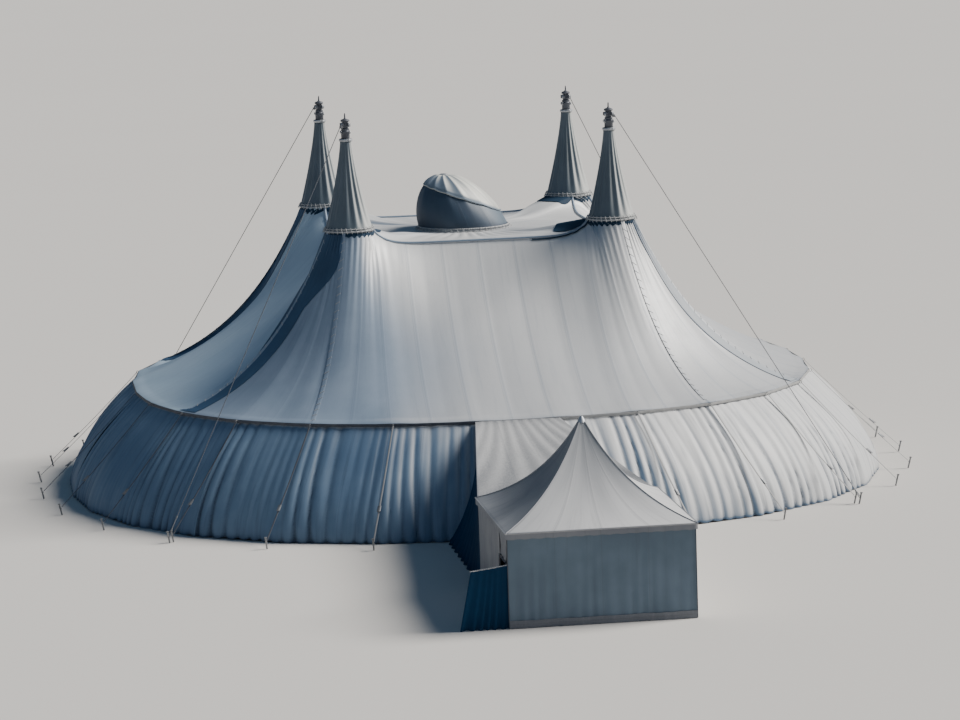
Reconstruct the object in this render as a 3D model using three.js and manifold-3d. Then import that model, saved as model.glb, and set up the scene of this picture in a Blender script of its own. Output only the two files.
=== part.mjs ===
// Circus big top with four masts, a central cupola, pleated side walls and an entrance annexe.
// It is a 1:2 scale model. Every size here is the real tent's, in metres, and the group scales it.
// Angles run round the tent from its front, which faces -Y, towards its right side, which faces +X.
import * as THREE from "three";
import { mergeVertices } from "three/addons/utils/BufferGeometryUtils.js";
import Module from "manifold-3d";

const wasm = await Module();
wasm.setup();

// Driving sizes
const modelScale = 500; // millimetres of model for each metre of the real tent
const skin = 0.06; // thickness that stands for the membrane
const clear = 0.0004; // what each of two touching pieces keeps back from the line they share

const bayCount = 28; // side poles round the eave, one on each mast's diagonal
const eave = { reach: 12.8, squareness: 2.4, height: 3.77 }; // a rounded square in plan; 2 is a circle
const wallInset = 0.05; // the side wall hangs from just inside the canopy's edge
const wallSpread = 2.6; // and comes out this far beyond it on its way down
const wallBulge = 1.7; // in a bulging line; 1 would be straight

const mastOffset = 4.9; // half the side of the square of masts
const mastHeight = 14;
const mastRadius = 0.16;
const mastHeadRadius = 0.19;
const mastPlate = { side: 1.1, thickness: 0.05 };
const ringRadius = 0.85; // collar in the canopy round each mast
const ringHeight = 9.9;
const ridgeHeight = 9.45; // lowest point of the ridge between two masts
const coneTop = 13.3;
const coneTopRadius = 0.2;

const ridgePull = 1.75; // how hollow the canopy hangs below a mast
const middlePull = 1.15; // and half-way between two masts
const crease = { drop: 0.45, reach: 0.13 }; // valley in a side panel, this share of its half from the seam

const cupola = { radius: 1.7, ringHeight: 9.3, ringDepth: 0.16, ringWidth: 0.14, top: 11.3, lean: -0.8 };

const poleInset = 0.25; // side poles stand this far inside the eave
const poleRadius = 0.045;
const ropeRadius = 0.025; // rope between the side poles, which the wall hangs on
const ropeDrop = 0.2;
const belt = { thickness: 0.05, height: 0.085 };
const strap = { width: 0.06, thickness: 0.02, head: 3.75, foot: 0.3 };
const stake = { spread: 3.7, thickness: 0.035, height: 0.42 };
const stay = { thickness: 0.024, head: 13.75, foot: 0.3, spread: 3.9 };

const annexe = {
  halfWidth: 2.94,
  front: -30,
  back: -23.5,
  height: 2.98, // at its eave
  top: 6,
  overhang: 0.06,
  valance: 0.2,
  pull: 1.7,
  leg: 0.09,
};
const doorway = { from: -29.55, to: -28.15, height: 2 };
const flap = { foot: -4.48, head: -4.1, height: 1.85, thickness: 0.04 };
const link = { tailHalfWidth: 1.5, tailHeight: 3.79, sag: 0.12, flare: 1.8 };

const bayAngle = (2 * Math.PI) / bayCount;
const polesPerSide = bayCount / 4;
const quarter = Math.PI / 2;
const seamAngle = 2.5 * bayAngle; // a main panel covers five bays, a corner panel two
const sides = ["front", "right", "back", "left"];
const corners = ["front_right", "back_right", "back_left", "front_left"];

// Finishes
const finish = (color, roughness, metalness = 0) =>
  new THREE.MeshStandardMaterial({ color, roughness, metalness, side: THREE.DoubleSide });
const silverMembrane = finish(0xb9bdc0, 0.45, 0.15);
const coneMembrane = finish(0xa9b0b6, 0.45, 0.15);
const wallMembrane = finish(0x8d99a6, 0.6);
const annexeMembrane = finish(0xc4c6c9, 0.5);
const blueCurtain = finish(0x23427c, 0.7);
const frontCurtain = finish(0x55697c, 0.7);
const galvanised = finish(0x8f9498, 0.4, 0.8);
const paintedSteel = finish(0x4a4f54, 0.5, 0.4);
const webbing = finish(0x30343a, 0.8);

const tent = new THREE.Group();
tent.scale.setScalar(modelScale);

function add(name, geometry, material, turn = 0) {
  const mesh = new THREE.Mesh(geometry, material);
  mesh.name = name;
  mesh.rotation.z = turn;
  tent.add(mesh);
  return mesh;
}

// Geometry helpers

const point = (x, y, z) => new THREE.Vector3(x, y, z);
const aim = (angle, radius, z = 0) => point(radius * Math.sin(angle), -radius * Math.cos(angle), z);
const mix = THREE.MathUtils.lerp;
const eaveReach = (angle) =>
  eave.reach *
  (Math.abs(Math.sin(angle)) ** eave.squareness + Math.abs(Math.cos(angle)) ** eave.squareness) **
    (-1 / eave.squareness);
const onPole = (angle, beyond, z) => aim(angle, eaveReach(angle) + beyond, z);
const steps = (count) => Array.from({ length: count + 1 }, (_, i) => i / count);

// A closed surface from a list of triangles, each of three points.
function fromTriangles(triangles) {
  const geometry = new THREE.BufferGeometry().setFromPoints(triangles.flat());
  const merged = mergeVertices(geometry, 1e-6);
  merged.computeVertexNormals();
  return merged;
}

const quad = (a, b, c, d) => [
  [a, b, c],
  [a, c, d],
];

// A thick sheet: outer[i][j] and inner[i][j] are its two faces, i across and j down.
// Seen from outside, i runs to the right and j runs down.
function thickSheet(outer, inner) {
  const across = outer.length - 1;
  const down = outer[0].length - 1;
  const faces = [];
  for (let i = 0; i < across; i++) {
    for (let j = 0; j < down; j++) {
      faces.push(...quad(outer[i][j], outer[i][j + 1], outer[i + 1][j + 1], outer[i + 1][j]));
      faces.push(...quad(inner[i][j], inner[i + 1][j], inner[i + 1][j + 1], inner[i][j + 1]));
    }
    faces.push(...quad(outer[i][0], outer[i + 1][0], inner[i + 1][0], inner[i][0]));
    faces.push(...quad(outer[i][down], inner[i][down], inner[i + 1][down], outer[i + 1][down]));
  }
  for (let j = 0; j < down; j++) {
    faces.push(...quad(outer[0][j], inner[0][j], inner[0][j + 1], outer[0][j + 1]));
    faces.push(...quad(outer[across][j], outer[across][j + 1], inner[across][j + 1], inner[across][j]));
  }
  return fromTriangles(faces);
}

// Loops of points stitched one to the next. An open loft ends in fans to the points first and last.
function loft(loops, first, last) {
  const faces = [];
  const open = first !== undefined;
  const count = loops[0].length;
  const pairs = open ? loops.length - 1 : loops.length;
  for (let k = 0; k < pairs; k++) {
    const upper = loops[k];
    const lower = loops[(k + 1) % loops.length];
    for (let i = 0; i < count; i++) {
      const n = (i + 1) % count;
      faces.push(...quad(upper[i], lower[i], lower[n], upper[n]));
    }
  }
  if (open) {
    for (let i = 0; i < count; i++) {
      const n = (i + 1) % count;
      faces.push([first, loops[0][i], loops[0][n]]);
      faces.push([last, loops[pairs][n], loops[pairs][i]]);
    }
  }
  return fromTriangles(faces);
}

const circle = (radius, z, count, centre = point(0, 0, 0)) =>
  Array.from({ length: count }, (_, i) => {
    const angle = (2 * Math.PI * i) / count;
    return point(centre.x + radius * Math.cos(angle), centre.y + radius * Math.sin(angle), z);
  });

// A square bar from a to b, with one pair of faces level across its run.
function bar(a, b, width, height = width) {
  const run = b.clone().sub(a).normalize();
  const side = Math.abs(run.z) > 0.999 ? point(1, 0, 0) : point(-run.y, run.x, 0).normalize();
  const up = run.clone().cross(side).normalize();
  const ring = (end) =>
    [
      [-1, -1],
      [1, -1],
      [1, 1],
      [-1, 1],
    ].map(([s, u]) =>
      end
        .clone()
        .addScaledVector(side, (s * width) / 2)
        .addScaledVector(up, (u * height) / 2),
    );
  return loft([ring(b), ring(a)], b, a);
}

function tube(base, top, radius, count = 12) {
  const cylinder = new THREE.CylinderGeometry(radius, radius, top.z - base.z, count);
  cylinder.rotateX(quarter);
  cylinder.translate(base.x, base.y, (base.z + top.z) / 2);
  return cylinder;
}

function block(low, high) {
  const size = point(...high).sub(point(...low));
  const box = new THREE.BoxGeometry(size.x, size.y, size.z);
  box.translate((low[0] + high[0]) / 2, (low[1] + high[1]) / 2, (low[2] + high[2]) / 2);
  return box;
}

function toSolid(geometry) {
  const bare = geometry.clone();
  bare.deleteAttribute("normal");
  bare.deleteAttribute("uv");
  const merged = mergeVertices(bare, 1e-6);
  return new wasm.Manifold(
    new wasm.Mesh({
      numProp: 3,
      vertProperties: new Float32Array(merged.attributes.position.array),
      triVerts: new Uint32Array(merged.index.array),
    }),
  );
}

function toGeometry(solid) {
  const mesh = solid.getMesh();
  const geometry = new THREE.BufferGeometry();
  geometry.setAttribute("position", new THREE.BufferAttribute(mesh.vertProperties, 3));
  geometry.setIndex(new THREE.BufferAttribute(mesh.triVerts, 1));
  geometry.computeVertexNormals();
  return geometry;
}

const joined = (geometries) => toGeometry(geometries.map(toSolid).reduce((a, b) => a.add(b)));
const cutBy = (geometry, tool) => toGeometry(toSolid(geometry).subtract(toSolid(tool)));

// Canopy surface

const mastAt = (corner) => {
  const angle = quarter / 2 + corner * quarter;
  return aim(angle, mastOffset * Math.SQRT2);
};

// The eave is straight from pole to pole.
function onEave(angle) {
  const bay = Math.floor(angle / bayAngle + 0.5);
  const from = onPole((bay - 0.5) * bayAngle, 0, eave.height);
  const to = onPole((bay + 0.5) * bayAngle, 0, eave.height);
  return from.lerp(to, angle / bayAngle + 0.5 - bay);
}

// Direction in which the seam leaves a mast's collar, measured as the angles are.
const seamFoot = onPole(seamAngle, 0, 0);
const seamLeave = Math.atan2(seamFoot.x - mastOffset, -seamFoot.y - mastOffset);

const ridgeSpan = mastOffset - ringRadius;
const ridgeAt = (x) => ridgeHeight + (ringHeight - ridgeHeight) * Math.abs(x / ridgeSpan) ** 2.5;

// Upper edge of the front main panel: round a collar, along the ridge, round the next collar.
function panelHead(w) {
  const side = Math.sign(w);
  const onRidge = 0.6; // share of the half panel that hangs on the ridge
  if (Math.abs(w) <= onRidge) {
    const x = (w / onRidge) * ridgeSpan;
    return point(x, -mastOffset, ridgeAt(x));
  }
  const turn = mix(-quarter, seamLeave, (Math.abs(w) - onRidge) / (1 - onRidge));
  const collar = aim(turn, ringRadius, ringHeight);
  return point(side * (mastOffset + collar.x), -mastOffset + collar.y, ringHeight);
}

const hollow = (t, pull) => (Math.exp(pull * (1 - t)) - 1) / (Math.exp(pull) - 1);

// w runs across the front main panel from -1 to 1, t from its head to the eave.
function onPanel(w, t) {
  const head = panelHead(w);
  const place = head.clone().lerp(onEave(w * seamAngle), t);
  const pull = mix(middlePull, ridgePull, w * w);
  place.z = mix(eave.height, head.z, hollow(t, pull));
  return place;
}

function onSidePanel(w, t) {
  const place = onPanel(w, t);
  const inwards = (1 - Math.abs(w)) / crease.reach;
  place.z -= crease.drop * inwards * Math.exp(1 - inwards) * 4 * t * (1 - t);
  return place;
}

// The same for the corner panel, in which the front right mast stands at v = 0.
function onCorner(v, t) {
  const middle = quarter / 2;
  const turn = middle + v * (middle - seamLeave);
  const collar = aim(turn, ringRadius, ringHeight);
  const head = point(mastOffset + collar.x, -mastOffset + collar.y, ringHeight);
  const place = head.clone().lerp(onEave(middle + v * bayAngle), t);
  place.z = mix(eave.height, ringHeight, hollow(t, ridgePull));
  return place;
}

// Moves a sheet's border rows and columns in by what touching pieces keep back.
const drawIn = (edge, next) => edge.add(next.clone().sub(edge).setLength(clear));

function keepBack(grid) {
  const last = grid.length - 1;
  grid[0].forEach((p, j) => drawIn(p, grid[1][j]));
  grid[last].forEach((p, j) => drawIn(p, grid[last - 1][j]));
  grid.forEach((column) => {
    const end = column.length - 1;
    drawIn(column[0], column[1]);
    drawIn(column[end], column[end - 1]);
  });
  return grid;
}

const lowered = (grid, depth) => grid.map((column) => column.map((p) => point(p.x, p.y, p.z - depth)));

const rows = [0, 0.1, 0.22, 0.38, 0.56, 0.78, 1];
const halfPanel = [0.25, 0.5, 0.72, 0.87, 0.94, 1];
const acrossPanel = [...halfPanel.map((w) => -w).reverse(), 0, ...halfPanel];
const acrossCorner = [-1, -0.5, 0, 0.5, 1];

function canopyGeometry(surface, across) {
  const grid = keepBack(across.map((w) => rows.map((t) => surface(w, t))));
  return thickSheet(grid, lowered(grid, skin));
}

const panelShape = (side) => (side === "left" || side === "right" ? onSidePanel : onPanel);
sides.forEach((side, k) => {
  add("canopy_" + side, canopyGeometry(panelShape(side), acrossPanel), silverMembrane, k * quarter);
});
corners.forEach((corner, k) => {
  add("canopy_corner_" + corner, canopyGeometry(onCorner, acrossCorner), silverMembrane, k * quarter);
});

// Crown: the roof between the four ridges, with a hole for the cupola

function crownOutline() {
  const front = [];
  for (const w of [-1, -0.75, -0.5, -0.25, 0, 0.25, 0.5, 0.75, 1]) {
    const x = w * ridgeSpan;
    front.push(point(x, -mastOffset, ridgeAt(x)));
  }
  const inward = ringRadius * Math.SQRT1_2;
  front.push(point(mastOffset - inward, -mastOffset + inward, ringHeight));
  return sides.flatMap((_, k) => front.map((p) => p.clone().applyAxisAngle(point(0, 0, 1), k * quarter)));
}

function crownGeometry() {
  const rim = crownOutline();
  const sheet = (depth, back) =>
    [0, 0.25, 0.5, 0.75, 1].map((t) =>
      rim.map((edge) => {
        const reach = Math.hypot(edge.x, edge.y);
        const inner = edge.clone().multiplyScalar((cupola.radius + clear) / reach).setZ(cupola.ringHeight);
        const place = edge.clone().multiplyScalar(1 - back / reach).setZ(edge.z).lerp(inner, t);
        place.z = mix(edge.z, cupola.ringHeight, 1 - (1 - t) ** 1.8) - depth;
        return place;
      }),
    );
  const upper = sheet(0, clear).reverse();
  const lower = sheet(skin, clear);
  return loft([...upper, ...lower]);
}
add("crown", crownGeometry(), silverMembrane);

// Cupola: a ring laced into the crown and a leaning dome on it

function cupolaRingGeometry() {
  const outer = cupola.radius - clear;
  const inner = outer - cupola.ringWidth;
  const top = cupola.ringHeight + cupola.ringDepth / 2;
  const bottom = top - cupola.ringDepth;
  const inStep = (radius, z) => crownOutline().map((p) => p.setZ(0).setLength(radius).setZ(z));
  return loft([inStep(outer, top), inStep(outer, bottom), inStep(inner, bottom), inStep(inner, top)]);
}
add("cupola_ring", cupolaRingGeometry(), galvanised);

function domeGeometry() {
  const foot = cupola.ringHeight + cupola.ringDepth / 2 + 2 * clear;
  const shell = (radius, rise) =>
    [0.08, 0.2, 0.35, 0.5, 0.65, 0.8, 0.92, 1].map((s) => {
      const lift = (1 - s * s) ** 0.6;
      return circle(radius * s, foot + rise * lift, 40, point(cupola.lean * lift, 0, 0));
    });
  const rise = cupola.top - foot;
  const outer = shell(cupola.radius, rise);
  const inner = shell(cupola.radius - skin, rise - skin).reverse();
  const apex = (height) => point(cupola.lean, 0, foot + height);
  return loft([...outer, ...inner], apex(rise), apex(rise - skin));
}
add("cupola_dome", domeGeometry(), silverMembrane);

// Masts and the cones of membrane that climb them

function mastGeometry() {
  const half = mastPlate.side / 2;
  return joined([
    block([-half, -half, 0], [half, half, mastPlate.thickness]),
    tube(point(0, 0, 0), point(0, 0, mastHeight - 0.1), mastRadius, 16),
    tube(point(0, 0, 13.55), point(0, 0, mastHeight), mastHeadRadius, 16),
  ]);
}

function coneGeometry() {
  const foot = ringHeight + 2 * clear;
  const profile = steps(7).map((s) => {
    const radius = mix(coneTopRadius, ringRadius + 0.04, (1 - s) ** 1.35);
    return [radius, mix(foot, coneTop, s)];
  });
  const outer = profile.map(([r, z]) => circle(r, z, 16)).reverse();
  const inner = profile.map(([r, z]) => circle(Math.max(r - skin, mastRadius + 2 * clear), z, 16));
  return loft([...outer, ...inner]);
}

corners.forEach((corner, k) => {
  const mast = add("mast_" + corner, mastGeometry(), paintedSteel);
  mast.position.copy(mastAt(k));
  const cone = add("mast_cone_" + corner, coneGeometry(), coneMembrane);
  cone.position.copy(mastAt(k));
});

// Side wall, straight from pole to pole

const wallTop = eave.height - skin - 2 * clear;
const wallSteps = steps(4);

function onWall(angle, s, depth) {
  const beyond = mix(-wallInset, wallSpread, 1 - (1 - s) ** wallBulge);
  return onPole(angle, beyond - depth, wallTop * (1 - s));
}

function wallGeometry(firstPole, count) {
  const face = (depth) =>
    Array.from({ length: count + 1 }, (_, i) =>
      wallSteps.map((s) => onWall((firstPole + i - 0.5) * bayAngle, s, depth)),
    );
  const outer = face(0);
  const inner = face(skin);
  for (const sheet of [outer, inner]) {
    sheet[0].forEach((p, j) => drawIn(p, sheet[1][j]));
    sheet.at(-1).forEach((p, j) => drawIn(p, sheet.at(-2)[j]));
  }
  return thickSheet(outer, inner);
}

const wallRuns = [
  ["wall_front_right", 1, 3],
  ["wall_right_front", 4, 4],
  ["wall_right_back", 8, 3],
  ["wall_back_right", 11, 4],
  ["wall_back_left", 15, 3],
  ["wall_left_back", 18, 4],
  ["wall_left_front", 22, 3],
  ["wall_front_left", 25, 3],
];
wallRuns.forEach(([name, firstPole, count]) => {
  add(name, wallGeometry(firstPole, count), wallMembrane);
});

// Side poles, joined by the rope that the wall hangs on

// What lies above the canopy's underside over one quarter, to trim the poles' heads with.
function overCanopy(panel) {
  const cover = (surface, across, turn) => {
    const grid = across.map((w) => rows.map((t) => surface(w, t)));
    return thickSheet(lowered(grid, -1), lowered(grid, skin + 2 * clear)).rotateZ(turn);
  };
  return joined([
    cover(panel, acrossPanel, 0),
    cover(onCorner, acrossCorner, 0),
    cover(onCorner, acrossCorner, -quarter),
  ]);
}

function polesGeometry(panel) {
  const ropeHeight = eave.height - ropeDrop;
  const pieces = [];
  for (let i = 0; i < polesPerSide; i++) {
    const angle = (i - polesPerSide / 2) * bayAngle;
    const foot = onPole(angle, -poleInset, 0);
    pieces.push(tube(foot, foot.clone().setZ(eave.height + 0.3), poleRadius, 10));
    const from = onPole(angle, -poleInset, ropeHeight);
    const to = onPole(angle + bayAngle, -poleInset, ropeHeight);
    if (i === polesPerSide - 1) to.lerp(from, (poleRadius + 2 * clear) / to.distanceTo(from));
    pieces.push(bar(from, to, 2 * ropeRadius));
  }
  return cutBy(joined(pieces), overCanopy(panel));
}

sides.forEach((side, k) => {
  add("side_poles_" + side, polesGeometry(panelShape(side)), galvanised, k * quarter);
});

// Edge belt with its guy straps and ground stakes

function guysGeometry(hasEntrance) {
  const inner = 2 * clear;
  const outer = inner + belt.thickness;
  const bottom = eave.height - skin + 2 * clear;
  const top = bottom + belt.height;
  const column = (angle, end) => {
    const corner = (beyond, z) => onPole(angle, beyond, z).add(aim(angle + quarter, end * clear));
    return [[corner(outer, top), corner(outer, bottom)], [corner(inner, top), corner(inner, bottom)]];
  };
  const columns = Array.from({ length: polesPerSide + 1 }, (_, i) =>
    column((i - polesPerSide / 2) * bayAngle, i === 0 ? 1 : i === polesPerSide ? -1 : 0),
  );
  const band = thickSheet(
    columns.map((c) => c[0]),
    columns.map((c) => c[1]),
  );
  const pieces = [band];
  for (let i = 0; i < polesPerSide; i++) {
    if (hasEntrance && (i === 3 || i === 4)) continue;
    const angle = (i - polesPerSide / 2) * bayAngle + (i === 0 ? 0.004 : 0);
    const head = onPole(angle, outer - 0.01, strap.head);
    const foot = onPole(angle, stake.spread, strap.foot);
    pieces.push(bar(head, foot, strap.width, strap.thickness));
    const pin = onPole(angle, stake.spread, 0);
    pieces.push(tube(pin, pin.clone().setZ(stake.height), stake.thickness, 8));
  }
  return joined(pieces);
}

sides.forEach((side, k) => {
  add("guys_" + side, guysGeometry(side === "front"), webbing, k * quarter);
});

// Mast stays, each from a mast's head out along its diagonal to an anchor

function stayGeometry() {
  const reach = mastOffset * Math.SQRT2 + mastHeadRadius + 2 * clear;
  const lug = block([-0.03, -reach - 0.12, stay.head - 0.1], [0.03, -reach, stay.head + 0.06]);
  const anchor = eaveReach(quarter / 2) + stay.spread;
  const head = point(0, -reach - 0.06, stay.head);
  const foot = point(0, -anchor, stay.foot);
  const run = bar(head, foot, stay.thickness);
  const pin = point(0, -anchor, 0);
  const peg = tube(pin, pin.clone().setZ(stake.height), stake.thickness, 8);
  return joined([run, peg, lug]);
}

corners.forEach((corner, k) => {
  add("mast_stay_" + corner, stayGeometry(), galvanised, quarter / 2 + k * quarter);
});

// Annexe: a peaked marquee with a frame, three walls and a side doorway

const annexeMiddle = (annexe.front + annexe.back) / 2;
const annexeHalfDepth = (annexe.back - annexe.front) / 2;

function annexeLoop(share, extra, z) {
  const halfX = (annexe.halfWidth + extra) * share;
  const halfY = (annexeHalfDepth + extra) * share;
  const edge = [-1, -0.5, 0, 0.5];
  return [
    ...edge.map((e) => point(e * halfX, annexeMiddle - halfY, z)),
    ...edge.map((e) => point(halfX, annexeMiddle + e * halfY, z)),
    ...edge.map((e) => point(-e * halfX, annexeMiddle + halfY, z)),
    ...edge.map((e) => point(-halfX, annexeMiddle - e * halfY, z)),
  ];
}

function annexeRoofGeometry() {
  const { height, top, overhang, valance, pull } = annexe;
  const shares = [0.06, 0.15, 0.28, 0.45, 0.65, 0.85, 1];
  const rise = top - height;
  const outer = shares.map((s) => annexeLoop(s, overhang, height + rise * hollow(s, pull)));
  const hugging = 2 * clear;
  const hem = annexeLoop(1, overhang, height - valance);
  const hemInside = annexeLoop(1, hugging, height - valance);
  const inner = shares.map((s) => annexeLoop(s, hugging, height + (rise - skin) * hollow(s, pull) - skin));
  return loft(
    [...outer, hem, hemInside, ...inner.reverse()],
    point(0, annexeMiddle, top),
    point(0, annexeMiddle, top - 2 * skin),
  );
}
add("annexe_roof", annexeRoofGeometry(), annexeMembrane);

const annexeWallTop = annexe.height - skin - 0.04;
const insideX = annexe.halfWidth - skin - 2 * clear;

function annexeFrameGeometry() {
  const half = annexe.leg / 2;
  const x = insideX - half;
  const front = annexe.front + skin + 2 * clear + half;
  const back = annexe.back - half;
  const beam = annexeWallTop - annexe.leg;
  const feet = [
    [-x, front],
    [x, front],
    [x, back],
    [-x, back],
  ];
  const legs = feet.map(([px, py]) =>
    block([px - half, py - half, 0], [px + half, py + half, annexeWallTop]),
  );
  const beams = feet.map(([px, py], i) => {
    const [qx, qy] = feet[(i + 1) % 4];
    return bar(point(px, py, beam), point(qx, qy, beam), 0.8 * annexe.leg);
  });
  return joined([...legs, ...beams]);
}
add("annexe_frame", annexeFrameGeometry(), galvanised);

const wide = annexe.halfWidth;
add(
  "annexe_front_wall",
  block([-wide, annexe.front, 0], [wide, annexe.front + skin, annexeWallTop]),
  frontCurtain,
);
const sideFront = annexe.front + skin + 2 * clear;
add(
  "annexe_right_wall",
  block([wide - skin, sideFront, 0], [wide, annexe.back, annexeWallTop]),
  annexeMembrane,
);
add(
  "annexe_left_wall",
  cutBy(
    block([-wide, sideFront, 0], [-wide + skin, annexe.back, annexeWallTop]),
    block([-wide - 1, doorway.from, -1], [-wide + 1, doorway.to, doorway.height]),
  ),
  annexeMembrane,
);

// The doorway's curtain, swung out flat with the front wall
function flapGeometry() {
  const near = -wide - 2 * clear;
  const outline = (y) => [
    point(flap.head, y, flap.height),
    point(flap.foot, y, 0),
    point(near, y, 0),
    point(near, y, doorway.height),
  ];
  const front = outline(annexe.front + 0.01);
  const back = outline(annexe.front + 0.01 + flap.thickness);
  const mid = (loop) => loop.reduce((sum, p) => sum.add(p), point(0, 0, 0)).divideScalar(loop.length);
  return loft([front, back], mid(front), mid(back));
}
add("annexe_door_flap", flapGeometry(), blueCurtain);

// Link: a short covered way from the annexe to the big top's eave

const linkFront = annexe.back + annexe.overhang + 2 * clear;
const linkBack = onPole(bayAngle / 2, belt.thickness + 4 * clear, 0).y;

const linkSteps = steps(6);

function linkEdge(side, s) {
  const x = side * mix(annexe.halfWidth, link.tailHalfWidth, s);
  return point(x, mix(linkFront, linkBack, s), mix(annexe.height - 0.02, link.tailHeight, s ** 1.2));
}

// How far the roof sags, u across it and s along it.
const linkSag = (u, s) => link.sag * 16 * u * (1 - u) * s * (1 - s);

function linkRoofGeometry() {
  const across = steps(6).map((u) =>
    linkSteps.map((s) => {
      const place = linkEdge(-1, 1 - s).lerp(linkEdge(1, 1 - s), u);
      place.z -= linkSag(u, s);
      return place;
    }),
  );
  return thickSheet(across, lowered(across, skin));
}
add("link_roof", linkRoofGeometry(), annexeMembrane);

// The big top's outside up to its belt, which the link's curtains end against
function withinWall() {
  const around = (place) => Array.from({ length: bayCount }, (_, i) => place((i + 0.5) * bayAngle));
  const belts = [eave.height + 1, wallTop].map((z) =>
    around((angle) => onPole(angle, belt.thickness + 4 * clear, z)),
  );
  const walls = wallSteps.map((s) => around((angle) => onWall(angle, s, -2 * clear)));
  const below = around((angle) => onPole(angle, wallSpread, -1));
  return loft([...belts, ...walls, below], point(0, 0, eave.height + 1), point(0, 0, -1));
}

// s runs back along the curtain and q down it, whose tail flares out towards the ground.
function linkWallGeometry(side) {
  const face = (depth) =>
    linkSteps.map((s) =>
      steps(6).map((q) => {
        const edge = linkEdge(side, s);
        const sag = linkSag(depth / 2 / Math.abs(edge.x), s);
        const height = edge.z - skin - 2 * clear - depth / 15 - sag;
        const tail = mix(link.tailHalfWidth, annexe.halfWidth, q ** link.flare);
        return point(side * (mix(annexe.halfWidth, tail, s) - depth), edge.y, height * (1 - q));
      }),
    );
  const outer = face(0);
  const inner = face(skin);
  const curtain = side > 0 ? thickSheet(outer, inner) : thickSheet(outer.reverse(), inner.reverse());
  return cutBy(curtain, withinWall());
}
add("link_left_wall", linkWallGeometry(-1), blueCurtain);
add("link_right_wall", linkWallGeometry(1), annexeMembrane);

// The origin is the middle of the footprint, on the ground.
tent.updateMatrixWorld(true);
const extent = new THREE.Box3().setFromObject(tent);
tent.position.set(-(extent.min.x + extent.max.x) / 2, -(extent.min.y + extent.max.y) / 2, 0);

export default tent;
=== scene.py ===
import math

import bpy
import numpy as np
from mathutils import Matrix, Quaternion, Vector
from mathutils.bvhtree import BVHTree


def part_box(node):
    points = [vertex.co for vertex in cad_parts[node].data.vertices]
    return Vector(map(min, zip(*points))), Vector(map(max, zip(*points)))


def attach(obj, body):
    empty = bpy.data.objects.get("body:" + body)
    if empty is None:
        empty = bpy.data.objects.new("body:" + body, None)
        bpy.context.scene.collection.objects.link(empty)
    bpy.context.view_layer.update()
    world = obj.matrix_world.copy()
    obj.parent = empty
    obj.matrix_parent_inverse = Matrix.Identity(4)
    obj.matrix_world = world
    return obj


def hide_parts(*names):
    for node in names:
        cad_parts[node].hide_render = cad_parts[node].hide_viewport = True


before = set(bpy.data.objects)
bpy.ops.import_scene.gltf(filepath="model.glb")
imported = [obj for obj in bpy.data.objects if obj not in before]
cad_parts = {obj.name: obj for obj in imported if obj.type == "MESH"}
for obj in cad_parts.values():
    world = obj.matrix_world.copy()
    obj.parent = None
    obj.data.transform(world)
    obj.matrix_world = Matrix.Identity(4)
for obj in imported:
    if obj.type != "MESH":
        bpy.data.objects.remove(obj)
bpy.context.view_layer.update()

# Sizes are the real tent's, in metres, as in the part's source. The model is made at half size.
modelScale = 0.5
tent = {
    "bays": 28, "eaveReach": 12.8, "squareness": 2.4, "eaveHeight": 3.77, "skin": 0.06,
    "wallInset": 0.05, "wallSpread": 2.6, "wallBulge": 1.7,
    "mastOffset": 4.9, "ringRadius": 0.85, "ringHeight": 9.9, "ridgeHeight": 9.3, "ridgeSwoop": 9.0,
    "ridgePull": 1.75, "middlePull": 1.15, "creaseDrop": 0.62, "creaseReach": 0.13,
    "shoulder": 0.48, "shoulderPlace": 0.54, "shoulderSpread": 0.2, "shoulderReach": 0.13,
}
cornerNames = ["front_right", "back_right", "back_left", "front_left"]
sideNames = ["front", "right", "back", "left"]
bayAngle = 2 * math.pi / tent["bays"]
quarter = math.pi / 2
seamAngle = 2.5 * bayAngle
mastLow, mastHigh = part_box("mast_front_right")
tentCentre = np.array([0, (mastLow.y + mastHigh.y) / 2 + tent["mastOffset"] * modelScale, 0])


def toModel(points):
    return np.asarray(points, float) * modelScale + tentCentre


def addObject(name, data):
    thing = bpy.data.objects.new(name, data)
    bpy.context.scene.collection.objects.link(thing)
    return thing


def lookAlong(thing, direction, roll=0.0):
    thing.rotation_mode = "QUATERNION"
    thing.rotation_quaternion = direction.to_track_quat("-Z", "Y") @ Quaternion((0, 0, 1), roll)


# Camera at the photograph's place, turned to the tent, with a long lens

shot = {
    "place": (-18.96, -142.96, 24.36), "target": (-0.57, -7.73, 5.25), "lens": 142, "roll": -0.032,
    "farthest": 2000,
}


def makeCamera():
    data = bpy.data.cameras.new("camera")
    data.lens = shot["lens"]
    data.clip_end = shot["farthest"]
    camera = addObject("camera", data)
    place, target = Vector(toModel(shot["place"])), Vector(toModel(shot["target"]))
    lookAlong(camera, target - place, shot["roll"])
    camera.location = place
    bpy.context.scene.camera = camera


# Soft studio light: a warm key from the right and a little behind, a cool fill from the left

sunnySide = (0.74, 0.08, 0.66)
studio = {
    "key": {"from": sunnySide, "strength": 6.4, "colour": (1.0, 0.955, 0.90), "angle": 0.5},
    "fill": {"from": (-0.5, -0.8, 0.4), "strength": 0.10, "colour": (0.6, 0.78, 1.0), "angle": 1.2},
    "air": {"Color": (0.34, 0.60, 1.0, 1.0), "Strength": 0.16},
    "floor": (0.62, 0.60, 0.565), "floorReach": 1500,
    "backdrop": (0.86, 0.825, 0.775), "backdropRadius": 1200, "backdropHeight": 500, "backdropSides": 64,
}


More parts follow.
